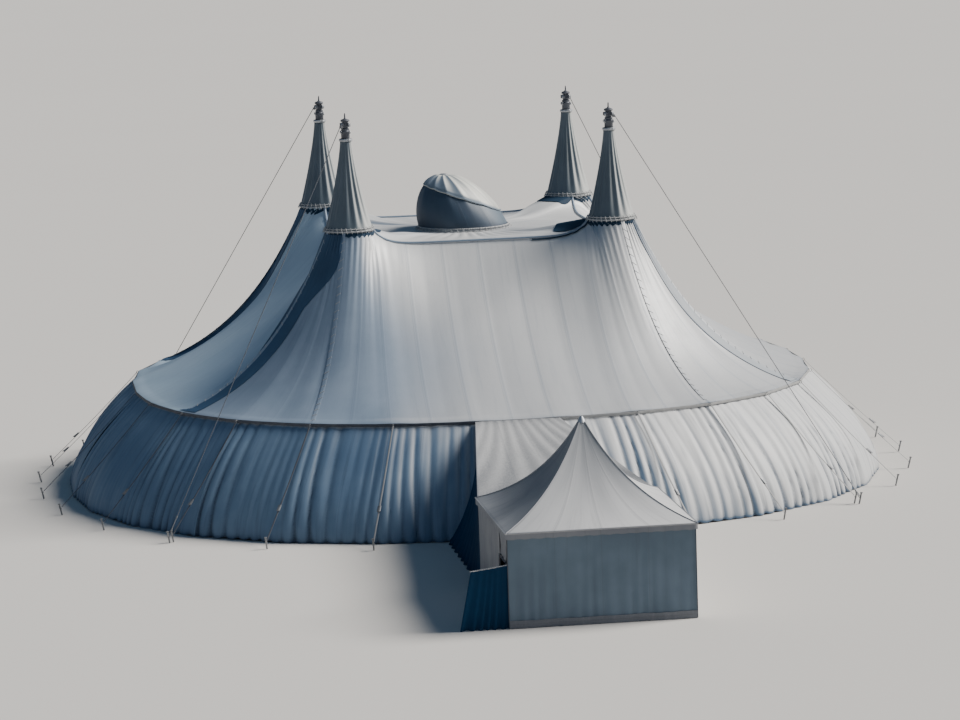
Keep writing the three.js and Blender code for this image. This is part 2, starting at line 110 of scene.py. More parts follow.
def makeLights():
    for name in ("key", "fill"):
        look = studio[name]
        data = bpy.data.lights.new(name, "SUN")
        data.energy = look["strength"]
        data.color = look["colour"]
        data.angle = look["angle"]
        lookAlong(addObject(name, data), -Vector(look["from"]))
    world = bpy.data.worlds.new("air")
    bpy.context.scene.world = world
    world.use_nodes = True
    for key, value in studio["air"].items():
        world.node_tree.nodes["Background"].inputs[key].default_value = value


makeCamera()
makeLights()
print("stage 1: camera and lights")


# Shader maths as plain expressions: a Wire wraps one output socket.
class Wire:
    def __init__(self, shader, socket):
        self.shader = shader
        self.socket = socket

    def maths(self, operation, *values):
        return self.shader.add("ShaderNodeMath", {"operation": operation}, dict(enumerate(values)))

    def __add__(self, other):
        return self.maths("ADD", self, other)

    def __radd__(self, other):
        return self.maths("ADD", other, self)

    def __sub__(self, other):
        return self.maths("SUBTRACT", self, other)

    def __rsub__(self, other):
        return self.maths("SUBTRACT", other, self)

    def __mul__(self, other):
        return self.maths("MULTIPLY", self, other)

    def __rmul__(self, other):
        return self.maths("MULTIPLY", other, self)

    def __truediv__(self, other):
        return self.maths("DIVIDE", self, other)

    def fraction(self):
        return self.maths("FRACT", self)

    def size(self):
        return self.maths("ABSOLUTE", self)

    # 0 below low, 1 above high, smooth between them
    def step(self, low, high):
        sockets = {"Value": self, "From Min": low, "From Max": high}
        return self.shader.add("ShaderNodeMapRange", {"interpolation_type": "SMOOTHSTEP"}, sockets)


class Shader:
    def __init__(self, name):
        self.material = bpy.data.materials.new(name)
        self.material.use_nodes = True
        self.tree = self.material.node_tree
        self.surface = self.tree.nodes["Principled BSDF"]

    # Any node: its settings are set first, then its sockets get values or links.
    def add(self, kind, settings=None, sockets=None, output=0):
        node = self.tree.nodes.new(kind)
        for key, value in (settings or {}).items():
            setattr(node, key, value)
        for key, value in (sockets or {}).items():
            self.feed(node.inputs[key], value)
        return Wire(self, node.outputs[output])

    def feed(self, socket, value):
        if isinstance(value, Wire):
            self.tree.links.new(value.socket, socket)
        elif isinstance(value, tuple) and socket.type == "RGBA" and len(value) == 3:
            socket.default_value = (*value, 1)
        else:
            socket.default_value = value

    # The model's own coordinates, or metres across (0) and down (1) a cloth
    def place(self):
        return self.add("ShaderNodeTexCoord", output=3)

    def cloth(self, axis):
        return self.part(self.add("ShaderNodeUVMap", {"uv_map": "cloth"}), axis)

    def part(self, vector, axis):
        return self.add("ShaderNodeSeparateXYZ", sockets={0: vector}, output=axis)

    def flat(self, x, y):
        return self.add("ShaderNodeCombineXYZ", sockets={0: x, 1: y})

    def noise(self, where, scale, detail, rough=0.55):
        sockets = {"Vector": where, "Scale": scale, "Detail": detail, "Roughness": rough}
        return self.add("ShaderNodeTexNoise", sockets=sockets)

    def blend(self, share, first, second):
        return self.add("ShaderNodeMix", {"data_type": "RGBA"}, {0: share, 6: first, 7: second}, output=2)

    def bump(self, height, strength, distance):
        sockets = {"Height": height, "Strength": strength, "Distance": distance}
        return self.add("ShaderNodeBump", sockets=sockets)

    def pointValue(self, name):
        return self.add("ShaderNodeAttribute", {"attribute_name": name}, output=2)

    def finish(self, **sockets):
        for key, value in sockets.items():
            self.feed(self.surface.inputs[key.replace("_", " ")], value)
        return self.material


# Coated cloth: mottling, rain streaks down the fall, welded strips, dirt at the hem, painted shade in the
# folds.
# Painted light: it is lit pale where it faces the key light, towards the tent's right and near its head, and
# dark where it faces away.

# Each look pairs a painted shaded tone with a painted lit tone, blended by facing, by place to the right and
# near the head.
clothBase = {
    "paintedLitRange": (0.2, 0.9), "paintedLitDrift": 0.024, "paintedHeadLight": 0.0, "strip": 0.75, "streak": 0.4,
    "rough": 0.45, "metal": 0.0, "crumple": 0.3, "gloss": 0.5,
}
clothLooks = {
    "canopy": {
        "colour": (0.27, 0.34, 0.43), "shade": (0.21, 0.275, 0.36), "dirtAndShade": (0.12, 0.17, 0.235),
        "paintedLitColour": (0.68, 0.68, 0.665), "foot": (0.535, 0.54, 0.54), "paintedLitRange": (0.19, 0.52), "paintedLitDrift": 0.11,
        "paintedHeadLight": 0.17, "strip": 0.72, "streak": 0.35, "rough": 0.42, "metal": 0.15, "crumple": 0.25,
    },
    "cone": {
        "colour": (0.115, 0.15, 0.18), "shade": (0.075, 0.105, 0.13), "dirtAndShade": (0.05, 0.065, 0.08),
        "paintedLitColour": (0.60, 0.61, 0.58), "paintedLitRange": (0.12, 0.72),
        "strip": 0.4, "streak": 0.45, "rough": 0.42, "metal": 0.15,
    },
    "cap": {
        "colour": (0.24, 0.29, 0.35), "shade": (0.17, 0.22, 0.28), "dirtAndShade": (0.13, 0.16, 0.17),
        "paintedLitColour": (0.66, 0.66, 0.60), "paintedLitRange": (0.25, 0.75),
        "strip": 0.5, "streak": 0.6, "rough": 0.4, "metal": 0.1,
    },
    "wall": {
        "colour": (0.165, 0.25, 0.355), "shade": (0.105, 0.18, 0.285), "dirtAndShade": (0.05, 0.08, 0.125),
        "paintedLitColour": (0.62, 0.62, 0.61), "paintedLitRange": (0.10, 0.66), "paintedLitDrift": 0.04,
        "streak": 0.7, "rough": 0.5, "metal": 0.05, "crumple": 0.4,
    },
    "annexe": {
        "colour": (0.25, 0.26, 0.28), "shade": (0.18, 0.19, 0.215), "dirtAndShade": (0.10, 0.11, 0.125),
        "paintedLitColour": (0.56, 0.56, 0.555), "paintedLitRange": (-0.05, 0.5), "metal": 0.05, "crumple": 0.35,
    },
    "roof": {
        "colour": (0.20, 0.215, 0.235), "shade": (0.16, 0.17, 0.19), "dirtAndShade": (0.10, 0.11, 0.125),
        "paintedLitColour": (0.67, 0.67, 0.665), "paintedLitRange": (0.0, 0.78), "paintedLitDrift": 0.15, "metal": 0.05, "crumple": 0.35,
    },
    # The valley sheets' navy is painted shade; where they face the key light it is painted pale.
    "navy": {
        "colour": (0.034, 0.086, 0.165), "shade": (0.022, 0.060, 0.120), "dirtAndShade": (0.035, 0.055, 0.08),
        "paintedLitColour": (0.44, 0.47, 0.49), "paintedLitRange": (0.45, 0.9), "rough": 0.5,
    },
    # The cupola skirt's dark tone is painted shade under the lip.
    "skirt": {
        "colour": (0.045, 0.075, 0.12), "shade": (0.03, 0.055, 0.09), "dirtAndShade": (0.03, 0.045, 0.065),
        "paintedLitColour": (0.11, 0.15, 0.19), "paintedLitRange": (0.3, 0.9), "strip": 0.5,
    },
    # Painted shade: the link's left curtain and the door flap, both on the shaded side, wear this dark blue.
    "blue": {
        "colour": (0.007, 0.042, 0.098), "shade": (0.005, 0.029, 0.070), "dirtAndShade": (0.014, 0.03, 0.055),
        "paintedLitColour": (0.02, 0.06, 0.115), "gloss": 0.08, "streak": 0.5, "rough": 0.6, "crumple": 0.5,
    },
    # The collar skirts' near-black blue is painted shadow round the masts.
    "collar": {
        "colour": (0.010, 0.037, 0.075), "shade": (0.007, 0.027, 0.056), "dirtAndShade": (0.018, 0.035, 0.055),
        "paintedLitColour": (0.018, 0.042, 0.075), "gloss": 0.15, "streak": 0.5, "rough": 0.6, "crumple": 0.5,
    },
    "slate": {
        "colour": (0.145, 0.205, 0.26), "shade": (0.095, 0.14, 0.185), "dirtAndShade": (0.10, 0.12, 0.14),
        "paintedLitColour": (0.2, 0.26, 0.31), "streak": 0.5, "rough": 0.55, "crumple": 0.4,
    },
}
# Seam flaps take the canopy cloth with a wider facing range, so more of them is painted lit.
clothLooks["seam"] = {**clothLooks["canopy"], "paintedLitRange": (-0.05, 0.32)}
# The left panel's paler copy of the canopy cloth is painted light for the sky light on that shaded side.
clothLooks["pale"] = {
    **clothLooks["canopy"],
    "colour": (0.44, 0.56, 0.66), "shade": (0.37, 0.49, 0.60), "dirtAndShade": (0.22, 0.30, 0.38),
}


def clothMaterial(name):
    look = {**clothBase, **clothLooks[name]}
    shader = Shader(name + "_cloth")
    where = shader.place()
    across, down = shader.cloth(0), shader.cloth(1)
    mottle = shader.noise(where, 0.55, 4.0)
    mid = shader.noise(where, 3.2, 4.0)
    streaks = shader.noise(shader.flat(across * 9, down * 0.7), 1.0, 4.0, 0.65).step(0.48, 0.78)
    fromSeam = ((across / look["strip"]).fraction() - 0.5).size()
    lap = fromSeam.step(0.44, 0.455)
    edge = fromSeam.step(0.484, 0.497)
    wearAndShade = shader.pointValue("wearAndShade")
    base = shader.blend(mottle.step(0.35, 0.68), look["colour"], look["shade"])
    base = shader.blend(mid.step(0.4, 0.8) * 0.35, base, look["shade"])
    head = 1 - down.step(0.0, 3.0)
    sunny = shader.pointValue("sunny") + shader.part(where, 0) * look["paintedLitDrift"] + head * look["paintedHeadLight"]
    paintedLit = sunny.step(*look["paintedLitRange"])
    paintedLitColour = shader.blend(down.step(0.0, 4.2), look["paintedLitColour"], look.get("foot", look["paintedLitColour"]))
    base = shader.blend(paintedLit * (0.8 + 0.2 * mottle), base, paintedLitColour)
    base = shader.blend(streaks * look["streak"] * 0.55, base, look["dirtAndShade"])
    base = shader.blend(lap * 0.12, base, look["shade"])
    base = shader.blend(edge * 0.22, base, look["dirtAndShade"])
    grain = shader.noise(where, 34.0, 3.0)
    # The dark tone covers real wear at hems and seams and painted shade in fold hollows.
    base = shader.blend((wearAndShade * (0.55 + grain * 0.9)).step(0.05, 1.1), base, look["dirtAndShade"])
    weave = shader.noise(where, 260.0, 2.0)
    height = mid * look["crumple"] + lap * 0.12 + weave * 0.04
    rough = look["rough"] + mid * 0.14 + streaks * 0.1 + wearAndShade * 0.1
    return shader.finish(
        Base_Color=base, Roughness=rough, Metallic=look["metal"], Normal=shader.bump(height, 0.35, 0.02),
        Specular_IOR_Level=look["gloss"],
    )


def steelMaterial(name, light, dark, spangle, metal=0.85):
    shader = Shader(name)
    where = shader.place()
    flakes = shader.add("ShaderNodeTexVoronoi", sockets={"Vector": where, "Scale": spangle})
    cloud = shader.noise(where, 5.0, 5.0)
    scuffs = shader.noise(where, 40.0, 4.0, 0.7).step(0.62, 0.8)
    base = shader.blend(cloud.step(0.3, 0.7), light, dark)
    base = shader.blend(flakes.step(0.0, 0.9) * 0.3, base, light)
    base = shader.blend(scuffs * 0.35, base, (0.24, 0.17, 0.12))
    bump = shader.bump(scuffs * 0.5 + flakes * 0.3, 0.25, 0.004)
    return shader.finish(Base_Color=base, Metallic=metal, Roughness=0.34 + cloud * 0.3, Normal=bump)


# Woven belt and straps: ribs across the band and dust in them. Painted light: dark where they face away from
# the key light, pale where they face it and towards the right.
def webbingMaterial():
    shader = Shader("webbing")
    across, down = shader.cloth(0), shader.cloth(1)
    ribs = ((down * 160).fraction() - 0.5).size() * 2
    stripes = ((across * 70).fraction() - 0.5).size() * 2
    dust = shader.noise(shader.place(), 6.0, 4.0).step(0.4, 0.75)
    paintedLit = (shader.pointValue("sunny") + shader.part(shader.place(), 0) * 0.08).step(-0.25, 0.25)
    base = shader.blend(paintedLit, (0.055, 0.065, 0.085), (0.40, 0.40, 0.39))
    base = shader.blend(ribs * 0.2, base, (0.13, 0.14, 0.17))
    base = shader.blend(dust * 0.35, base, (0.2, 0.2, 0.2))
    bump = shader.bump(ribs * 0.6 + stripes * 0.4, 0.4, 0.002)
    return shader.finish(Base_Color=base, Roughness=0.72 + dust * 0.15, Normal=bump)


def ropeMaterial(name, light, dark, metal, pitch):
    shader = Shader(name)
    across, down = shader.cloth(0), shader.cloth(1)
    strand = ((across * pitch[0] + down * pitch[1]).fraction() - 0.5).size() * 2
    cloud = shader.noise(shader.place(), 7.0, 3.0)
    base = shader.blend(strand.step(0.15, 0.9), dark, light)
    base = shader.blend(cloud.step(0.55, 0.8) * 0.4, base, dark)
    bump = shader.bump(strand, 0.6, 0.003)
    return shader.finish(Base_Color=base, Metallic=metal, Roughness=0.45 + cloud * 0.3, Normal=bump)


materials = {name: clothMaterial(name) for name in clothLooks}
materials["galvanised"] = steelMaterial("galvanised", (0.56, 0.58, 0.60), (0.36, 0.38, 0.40), 90.0)
materials["fittings"] = steelMaterial("dull_steel", (0.27, 0.28, 0.29), (0.15, 0.155, 0.165), 60.0, 0.6)
materials["mast"] = steelMaterial("mast_paint", (0.10, 0.11, 0.13), (0.055, 0.06, 0.075), 25.0, 0.3)
materials["webbing"] = webbingMaterial()
materials["wire"] = ropeMaterial("wire_rope", (0.2, 0.21, 0.23), (0.05, 0.055, 0.065), 0.4, (60.0, 26.0))
materials["rope"] = ropeMaterial("lacing_rope", (0.62, 0.62, 0.6), (0.25, 0.26, 0.28), 0.0, (50.0, 30.0))
print("stage 2: materials")


sharpAngle = 0.75  # steeper edges aren't smoothed


# Meshes are put together from blocks of points and quads.
class Shape:
    def __init__(self):
        self.points = []
        self.faces = []
        self.cloth = []
        self.wearAndShade = []
        self.facing = []
        self.count = 0

    def add(self, points, faces, cloth, wearAndShade, facing=np.nan):
        points = np.asarray(points, float).reshape(-1, 3)
        self.points.append(points)
        self.cloth.append(np.asarray(cloth, float).reshape(-1, 2) * modelScale)
        self.wearAndShade.append(np.broadcast_to(np.asarray(wearAndShade, float).reshape(-1), (len(points),)))
        self.facing.append(np.broadcast_to(facing, points.shape))
        self.faces.extend([tuple(int(v) + self.count for v in face) for face in faces])
        self.count += len(points)

    def build(self, name, material, slot):
        mesh = bpy.data.meshes.new(name)
        mesh.from_pydata(toModel(np.vstack(self.points)), [], self.faces)
        layer = mesh.uv_layers.new(name="cloth")
        corners = np.empty(len(mesh.loops), int)
        mesh.loops.foreach_get("vertex_index", corners)
        layer.data.foreach_set("uv", np.vstack(self.cloth)[corners].astype(np.float32).ravel())
        mesh.polygons.foreach_set("use_smooth", [True] * len(mesh.polygons))
        # sunny: how far each point faces the key light; the cloth paints its light and shade from it.
        facing = np.empty(len(mesh.vertices) * 3, np.float32)
        mesh.vertex_normals.foreach_get("vector", facing)
        given = np.vstack(self.facing)
        sunny = np.where(np.isnan(given), facing.reshape(-1, 3), given) @ np.array(sunnySide)
        for key, values in (("wearAndShade", np.concatenate(self.wearAndShade)), ("sunny", sunny)):
            mesh.attributes.new(key, "FLOAT", "POINT").data.foreach_set("value", values.astype(np.float32))
        mesh.set_sharp_from_angle(angle=sharpAngle)
        mesh.materials.append(materials[material])
        piece = addObject(name, mesh)
        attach(piece, "root")
        return piece


def mix(first, second, share):
    return first + (second - first) * share


def smooth(share):
    return share * share * (3 - 2 * share)


def bell(value, middle, width):
    return np.exp(-((value - middle) / width) ** 2)


# 0 at whole turns, 1 halfway between them
def folded(turn):
    return 0.5 - 0.5 * np.cos(turn)


# 0 at both ends, 1 in the middle
def arch(share):
    return np.sin(math.pi * share)


def unit(vectors):
    return vectors / np.linalg.norm(vectors, axis=-1, keepdims=True)


def wholeTurn(count):
    return np.arange(count) * 2 * math.pi / count


def roundAbout(radius, turn, z):
    return np.stack(np.broadcast_arrays(radius * np.cos(turn), radius * np.sin(turn), z), -1)


# Two shares that run over a grid, each from its first value to its last in a number of places
def shares(first, second):
    return np.meshgrid(np.linspace(*first), np.linspace(*second), indexing="ij")


# Wear and dirt along a cloth's foot (t = 1) and its head (t = 0)
def edgeWear(t, foot, footReach, head=0.0, headReach=1.0):
    return foot * np.exp((t - 1) / footReach) + head * np.exp(-t / headReach)


# How far pleats lift the hem of a curtain from the ground
def hemLift(s, fold, height, begin):
    return height * fold * np.clip((s - begin) / (1 - begin), 0, 1)


def closedLoop(grid):
    return np.concatenate([grid, grid[:1]])


def normals(grid, loop=False):
    across = (np.roll(grid, -1, 0) - np.roll(grid, 1, 0)) if loop else np.gradient(grid, axis=0)
    facing = np.cross(np.gradient(grid, axis=1), across)
    return facing / (np.linalg.norm(facing, axis=-1, keepdims=True) + 1e-12)


def lengths(grid, axis):
    run = np.linalg.norm(np.diff(grid, axis=axis), axis=-1)
    start = np.zeros_like(run.take([0], axis))
    return np.concatenate([start, np.cumsum(run, axis)], axis)


# Each pass moves a value part of the way to its neighbours' mean, across the first direction.
def soften(grid, passes, share=1.0):
    grid = grid.copy()
    share = np.broadcast_to(share, grid.shape)[1:-1]
    for _ in range(passes):
        grid[1:-1] += share * (grid[:-2] - 2 * grid[1:-1] + grid[2:]) / 4
    return grid


clothThickness = 0.012  # 6 mm in the model, doubled cloth and coating


# A thin closed skin from a grid: i runs to the right and j down, as seen from outside.
# Its painted light follows its own folds, or with soft passes only the broad shape that they lie on.
def addSkin(shape, grid, wearAndShade, loop=False, soft=0, thickness=clothThickness):
    columns, rows = grid.shape[:2]
    size = columns * rows
    facing = normals(grid, loop)
    around = lengths(closedLoop(grid), 0)[:-1] if loop else lengths(grid, 0)
    cloth = np.stack([np.broadcast_to(around[:, -1:], (columns, rows)), lengths(grid, 1)], -1)
    at = np.arange(size).reshape(columns, rows)
    following = np.roll(at, -1, 0) if loop else at[1:]
    here = at if loop else at[:-1]
    outer = np.stack([here[:, :-1], here[:, 1:], following[:, 1:], following[:, :-1]], -1).reshape(-1, 4)
    faces = [outer, outer[:, ::-1] + size]
    edges = [(here[:, 0], following[:, 0], 1), (here[:, -1], following[:, -1], -1)]
    if not loop:
        edges += [(at[0, :-1], at[0, 1:], -1), (at[-1, :-1], at[-1, 1:], 1)]
    for a, b, way in edges:
        faces.append(np.stack([a, b, b + size, a + size], -1)[:, ::way])
    wearAndShadeAll = np.broadcast_to(np.asarray(wearAndShade, float), (columns, rows))
    broad = soften(facing, soft).reshape(-1, 3)
    shape.add(
        np.stack([grid, grid - facing * thickness]), np.concatenate(faces), np.stack([cloth, cloth]),
        np.stack([wearAndShadeAll, wearAndShadeAll]), np.concatenate([broad, -broad]) if soft else np.nan,
    )


def sheetArea(grid):
    a = grid[1:, :-1] - grid[:-1, :-1]
    b = grid[:-1, 1:] - grid[:-1, :-1]
    return float(np.linalg.norm(np.cross(a, b), axis=-1).sum()) * modelScale ** 2


# A cloth piece from a grid; it prints the flat size that its own lengths give.
def makeSheet(name, grid, material, slot, nodes, wearAndShade, loop=False, soft=0):
    shape = Shape()
    addSkin(shape, grid, wearAndShade, loop, soft)
    piece = shape.build(name, material, slot)
    closed = closedLoop(grid) if loop else grid
    width = float(lengths(closed, 0)[-1].max()) * modelScale
    length = float(lengths(closed, 1)[:, -1].max()) * modelScale
    area = min(sheetArea(closed), width * length)
    if nodes:
        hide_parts(*nodes)
    print("  sheet", name, round(width, 2), "x", round(length, 2), "m, area", round(area, 2))
    return piece


rippleWaves = 7


# Smooth noise from a few seeded waves
def ripple(seed, x, y):
    draw = np.random.default_rng(seed)
    total = np.zeros(np.broadcast(x, y).shape)
    for _ in range(rippleWaves):
        turnX, turnY = draw.normal(0, 1, 2)
        total = total + np.sin(turnX * x + turnY * y + draw.uniform(0, 2 * math.pi))
    return total / math.sqrt(rippleWaves)


# Rings of points joined into a closed solid. Way -1 turns its faces over.
def addRings(shape, points, cloth, wearAndShade, way=1, facing=np.nan):
    rows, sides = points.shape[:2]
    at = np.arange(rows * sides).reshape(rows, sides)
    beside = np.roll(at, -1, 1)
    second, fourth = [beside[:-1], at[1:]][::way]
    faces = np.stack([at[:-1], second, beside[1:], fourth], -1).reshape(-1, 4)
    shape.add(points, [*faces, at[0][::-way], at[-1][::way]], cloth, wearAndShade, facing)


def tubeAlong(shape, path, radius, sides, wearAndShade=0.0):
    path = np.asarray(path, float)
    run = unit(np.gradient(path, axis=0))
    side = np.cross(run, (0.0, 0.0, 1.0))
    side = unit(np.where(np.linalg.norm(side, axis=1, keepdims=True) < 1e-3, (1.0, 0.0, 0.0), side))
    up = np.cross(side, run)
    turn = wholeTurn(sides)
    radius = np.broadcast_to(np.asarray(radius, float), (len(path),))
    ring = side[:, None] * np.cos(turn)[:, None] + up[:, None] * np.sin(turn)[:, None]
    cloth = np.stack(np.broadcast_arrays(turn[None] * 0.01, lengths(path[:, None], 0)), -1)
    addRings(shape, path[:, None] + ring * radius[:, None, None], cloth, wearAndShade)


bandEdge = np.array([(-1, -0.6), (-0.8, -1), (0.8, -1), (1, -0.6), (1, 0.6), (0.8, 1), (-0.8, 1), (-1, 0.6)])


# A flat band along a path: wide along the given direction, thin across it
def bandAlong(shape, path, wideDirection, width, thickness, wearAndShade=0.0):
    path = np.asarray(path, float)
    run = unit(np.gradient(path, axis=0))
    wide = np.broadcast_to(np.asarray(wideDirection, float), path.shape)
    wide = unit(wide - run * (wide * run).sum(1, keepdims=True))
    up = np.cross(run, wide)
    across, through = bandEdge[:, :1] * width / 2, bandEdge[:, 1:] * thickness / 2
    cloth = np.stack(np.broadcast_arrays(across[:, 0], lengths(path[:, None], 0)), -1)
    # A band's painted light follows the side that faces up.
    shown = np.repeat(up * np.where(up[:, 2:] < 0, -1, 1), len(bandEdge), 0)
    addRings(shape, path[:, None] + wide[:, None] * across + up[:, None] * through, cloth, wearAndShade, -1, shown)


# A round piece from a profile of (radius, height) pairs, standing at a centre
def turned(shape, centre, profile, sides):
    profile = np.asarray(profile, float)
    turn = wholeTurn(sides)
    cloth = np.stack(np.broadcast_arrays(turn * profile[:, :1], profile[:, 1:]), -1)
    addRings(shape, roundAbout(profile[:, :1], turn, profile[:, 1:]) + np.asarray(centre, float), cloth, 0.0)


# A small upright ring of bar, in the direction that out points
def barRing(shape, centre, out, size, bar, places):
    turn = np.linspace(0, 2 * math.pi, places)[:, None]
    tubeAlong(shape, centre + out * size * np.cos(turn) + np.array([0, 0, size]) * np.sin(turn), bar, 6)


# Rope rings round a collar, and the short laces that cross them
def lacedCollar(name, centre, look):
    ropes = Shape()
    turn = np.linspace(0, 2 * math.pi, look["ringPlaces"])
    for radius, z, size in look["rings"]:
        tubeAlong(ropes, roundAbout(radius, turn, z) + centre, size, 8, 0.3)
    for angle in wholeTurn(look["laces"]):
        out = np.array([math.cos(angle), math.sin(angle), 0])
        slant = np.array([-out[1], out[0], 0]) * look["slant"]
        lace = [out * radius + (0, 0, z) + slant * way for way, (radius, z) in zip((-1, 0, 1), look["lace"])]
        tubeAlong(ropes, np.array(lace) + centre, look["laceSize"], 5)
    ropes.build(name, "rope", "guy_webbing")


# The tent's surfaces, with angles from its front (-Y) towards its right (+X)

def aim(angle, radius, z=0.0):
    angle, radius, z = np.broadcast_arrays(angle, radius, z)
    return np.stack([radius * np.sin(angle), -radius * np.cos(angle), z], -1).astype(float)


def eaveReach(angle):
    power = tent["squareness"]
    size = np.abs(np.sin(angle)) ** power + np.abs(np.cos(angle)) ** power
    return tent["eaveReach"] * size ** (-1 / power)


def onPole(angle, beyond, z):
    return aim(angle, eaveReach(angle) + beyond, z)


def betweenPoles(angle, place):
    bay = np.floor(angle / bayAngle + 0.5)
    share = (angle / bayAngle + 0.5 - bay)[..., None]
    return mix(place((bay - 0.5) * bayAngle), place((bay + 0.5) * bayAngle), share)


def onEave(angle):
    return betweenPoles(angle, lambda pole: onPole(pole, 0, tent["eaveHeight"]))


def onWall(angle, s):
    beyond = mix(-tent["wallInset"], tent["wallSpread"], 1 - (1 - s) ** tent["wallBulge"])
    height = (tent["eaveHeight"] - tent["skin"]) * (1 - s)
    return betweenPoles(angle, lambda pole: onPole(pole, beyond, height))


def quarterTurn(points, k):
    cos, sin = round(math.cos(k * quarter)), round(math.sin(k * quarter))
    points = np.asarray(points, float)
    x, y = points[..., 0], points[..., 1]
    return np.stack([cos * x - sin * y, sin * x + cos * y, points[..., 2]], -1)


def mastAt(k, z=0.0):
    return aim(quarter / 2 + k * quarter, tent["mastOffset"] * math.sqrt(2), z)


firstMast = np.array([tent["mastOffset"], -tent["mastOffset"], 0.0])
seamFoot = onPole(seamAngle, 0, 0)
seamLeave = math.atan2(seamFoot[0] - tent["mastOffset"], -seamFoot[1] - tent["mastOffset"])
ridgeSpan = tent["mastOffset"] - tent["ringRadius"]
onRidge = 0.6  # share of a half panel that hangs on the ridge


# The front ridge at x, which the other three repeat
def ridgeLine(x, lift=0.0):
    rise = np.abs(np.clip(x / ridgeSpan, -1, 1)) ** tent["ridgeSwoop"]
    z = mix(tent["ridgeHeight"], tent["ringHeight"], rise) + lift
    return np.stack([x, np.full_like(x, -tent["mastOffset"]), z], -1)


def hollow(t, pull):
    return (np.exp(pull * (1 - t)) - 1) / (np.exp(pull) - 1)


def panelHead(w):
    turn = mix(-quarter, seamLeave, (np.abs(w) - onRidge) / (1 - onRidge))
    collar = aim(turn, tent["ringRadius"], tent["ringHeight"]) + firstMast
    collar[..., 0] *= np.sign(w)
    return np.where((np.abs(w) <= onRidge)[..., None], ridgeLine(w / onRidge * ridgeSpan), collar)


def onPanel(w, t, creased):
    head = panelHead(w)
    place = mix(head, onEave(w * seamAngle), t[..., None])
    pull = mix(tent["middlePull"], tent["ridgePull"], w * w)
    place[..., 2] = mix(tent["eaveHeight"], head[..., 2], hollow(t, pull))
    inPlace = bell(np.abs(w), tent["shoulderPlace"], tent["shoulderSpread"])
    down = t / tent["shoulderReach"]
    place[..., 2] += tent["shoulder"] * inPlace * down * np.exp(1 - down)
    if creased:
        inwards = (1 - np.abs(w)) / tent["creaseReach"]
        place[..., 2] -= tent["creaseDrop"] * inwards * np.exp(1 - inwards) * 4 * t * (1 - t)
    return place


def onCorner(v, t):
    middle = quarter / 2
    head = aim(middle + v * (middle - seamLeave), tent["ringRadius"], tent["ringHeight"]) + firstMast
    place = mix(head, onEave(middle + v * bayAngle), t[..., None])
    place[..., 2] = mix(tent["eaveHeight"], tent["ringHeight"], hollow(t, tent["ridgePull"]))
    return place


# Canopy: billows between welded strips, tension folds from the collars, lift over each side pole

canopy = {
    "panelColumns": 150, "cornerColumns": 60, "rows": 66, "panelStrips": 12, "cornerStrips": 4,
    "poleLift": 0.05, "poleFade": 0.1, "fold": 0.026, "foldFade": 0.12, "folds": 15,
    "billow": 0.013, "sway": 0.035, "hem": 0.018, "hemRows": 3, "panelSoft": 90, "cornerSoft": 40,
    # The left panel takes the paler cloth: painted light.
    "creaseWidth": 0.16, "creaseSoft": 90, "looks": {"left": "pale"},
}


def dressCanopy(grid, angle, t, across, strips, foldShare, border, seed):
    rise = canopy["poleLift"] * (folded(2 * math.pi * angle / bayAngle) - 0.4)
    rise = rise * np.exp((t - 1) / canopy["poleFade"])
    folds = np.cos(2 * math.pi * canopy["folds"] * foldShare + 0.8 * ripple(seed, foldShare * 9, t * 2))
    rise = rise + canopy["fold"] * folds * np.exp(-t / canopy["foldFade"]) * (t > 0) * border
    billow = np.abs(arch(across * strips)) - 0.64
    rise = rise + canopy["billow"] * billow * np.minimum(1, t * 6) * np.minimum(1, (1 - t) * 9 + 0.15)
    rise = rise + canopy["sway"] * ripple(seed + 1, across * 14, t * 6) * 4 * t * (1 - t) * border * 0.5
    rise = np.where(t <= 0, 0, rise)
    rise[:, -canopy["hemRows"]:] += canopy["hem"]
    return grid + normals(grid) * rise[..., None]


def panelCloth(k, w, t):
    out = np.abs(w)
    border = np.clip((out - 0.42) / 0.2, 0, 1) * np.clip((1 - out) * 12, 0, 1)
    atCrease = bell(out, onRidge, canopy["creaseWidth"])
    atCrease = atCrease * np.clip((t - 0.05) * 8, 0, 1) * np.clip((1 - t) * 8, 0, 1)
    grid = soften(onPanel(w, t, k % 2 == 1), canopy["creaseSoft"], atCrease[..., None])
    foldShare = (out - onRidge) / (1 - onRidge) * 0.5
    return dressCanopy(
        grid, w * seamAngle, t, (w + 1) / 2, canopy["panelStrips"], foldShare, border, 11 + k
    )


def cornerCloth(k, v, t):
    border = np.clip((1 - np.abs(v)) * 5, 0, 1)
    angle = quarter / 2 + v * bayAngle
    return dressCanopy(
        onCorner(v, t), angle, t, (v + 1) / 2, canopy["cornerStrips"], (v + 1) / 4, border, 31 + k
    )


def canopyPiece(name, grid, look, wearAndShade, soft):
    return makeSheet(
        name + "_membrane", grid, look, "canopy_membrane", [name], wearAndShade, soft=soft
    )


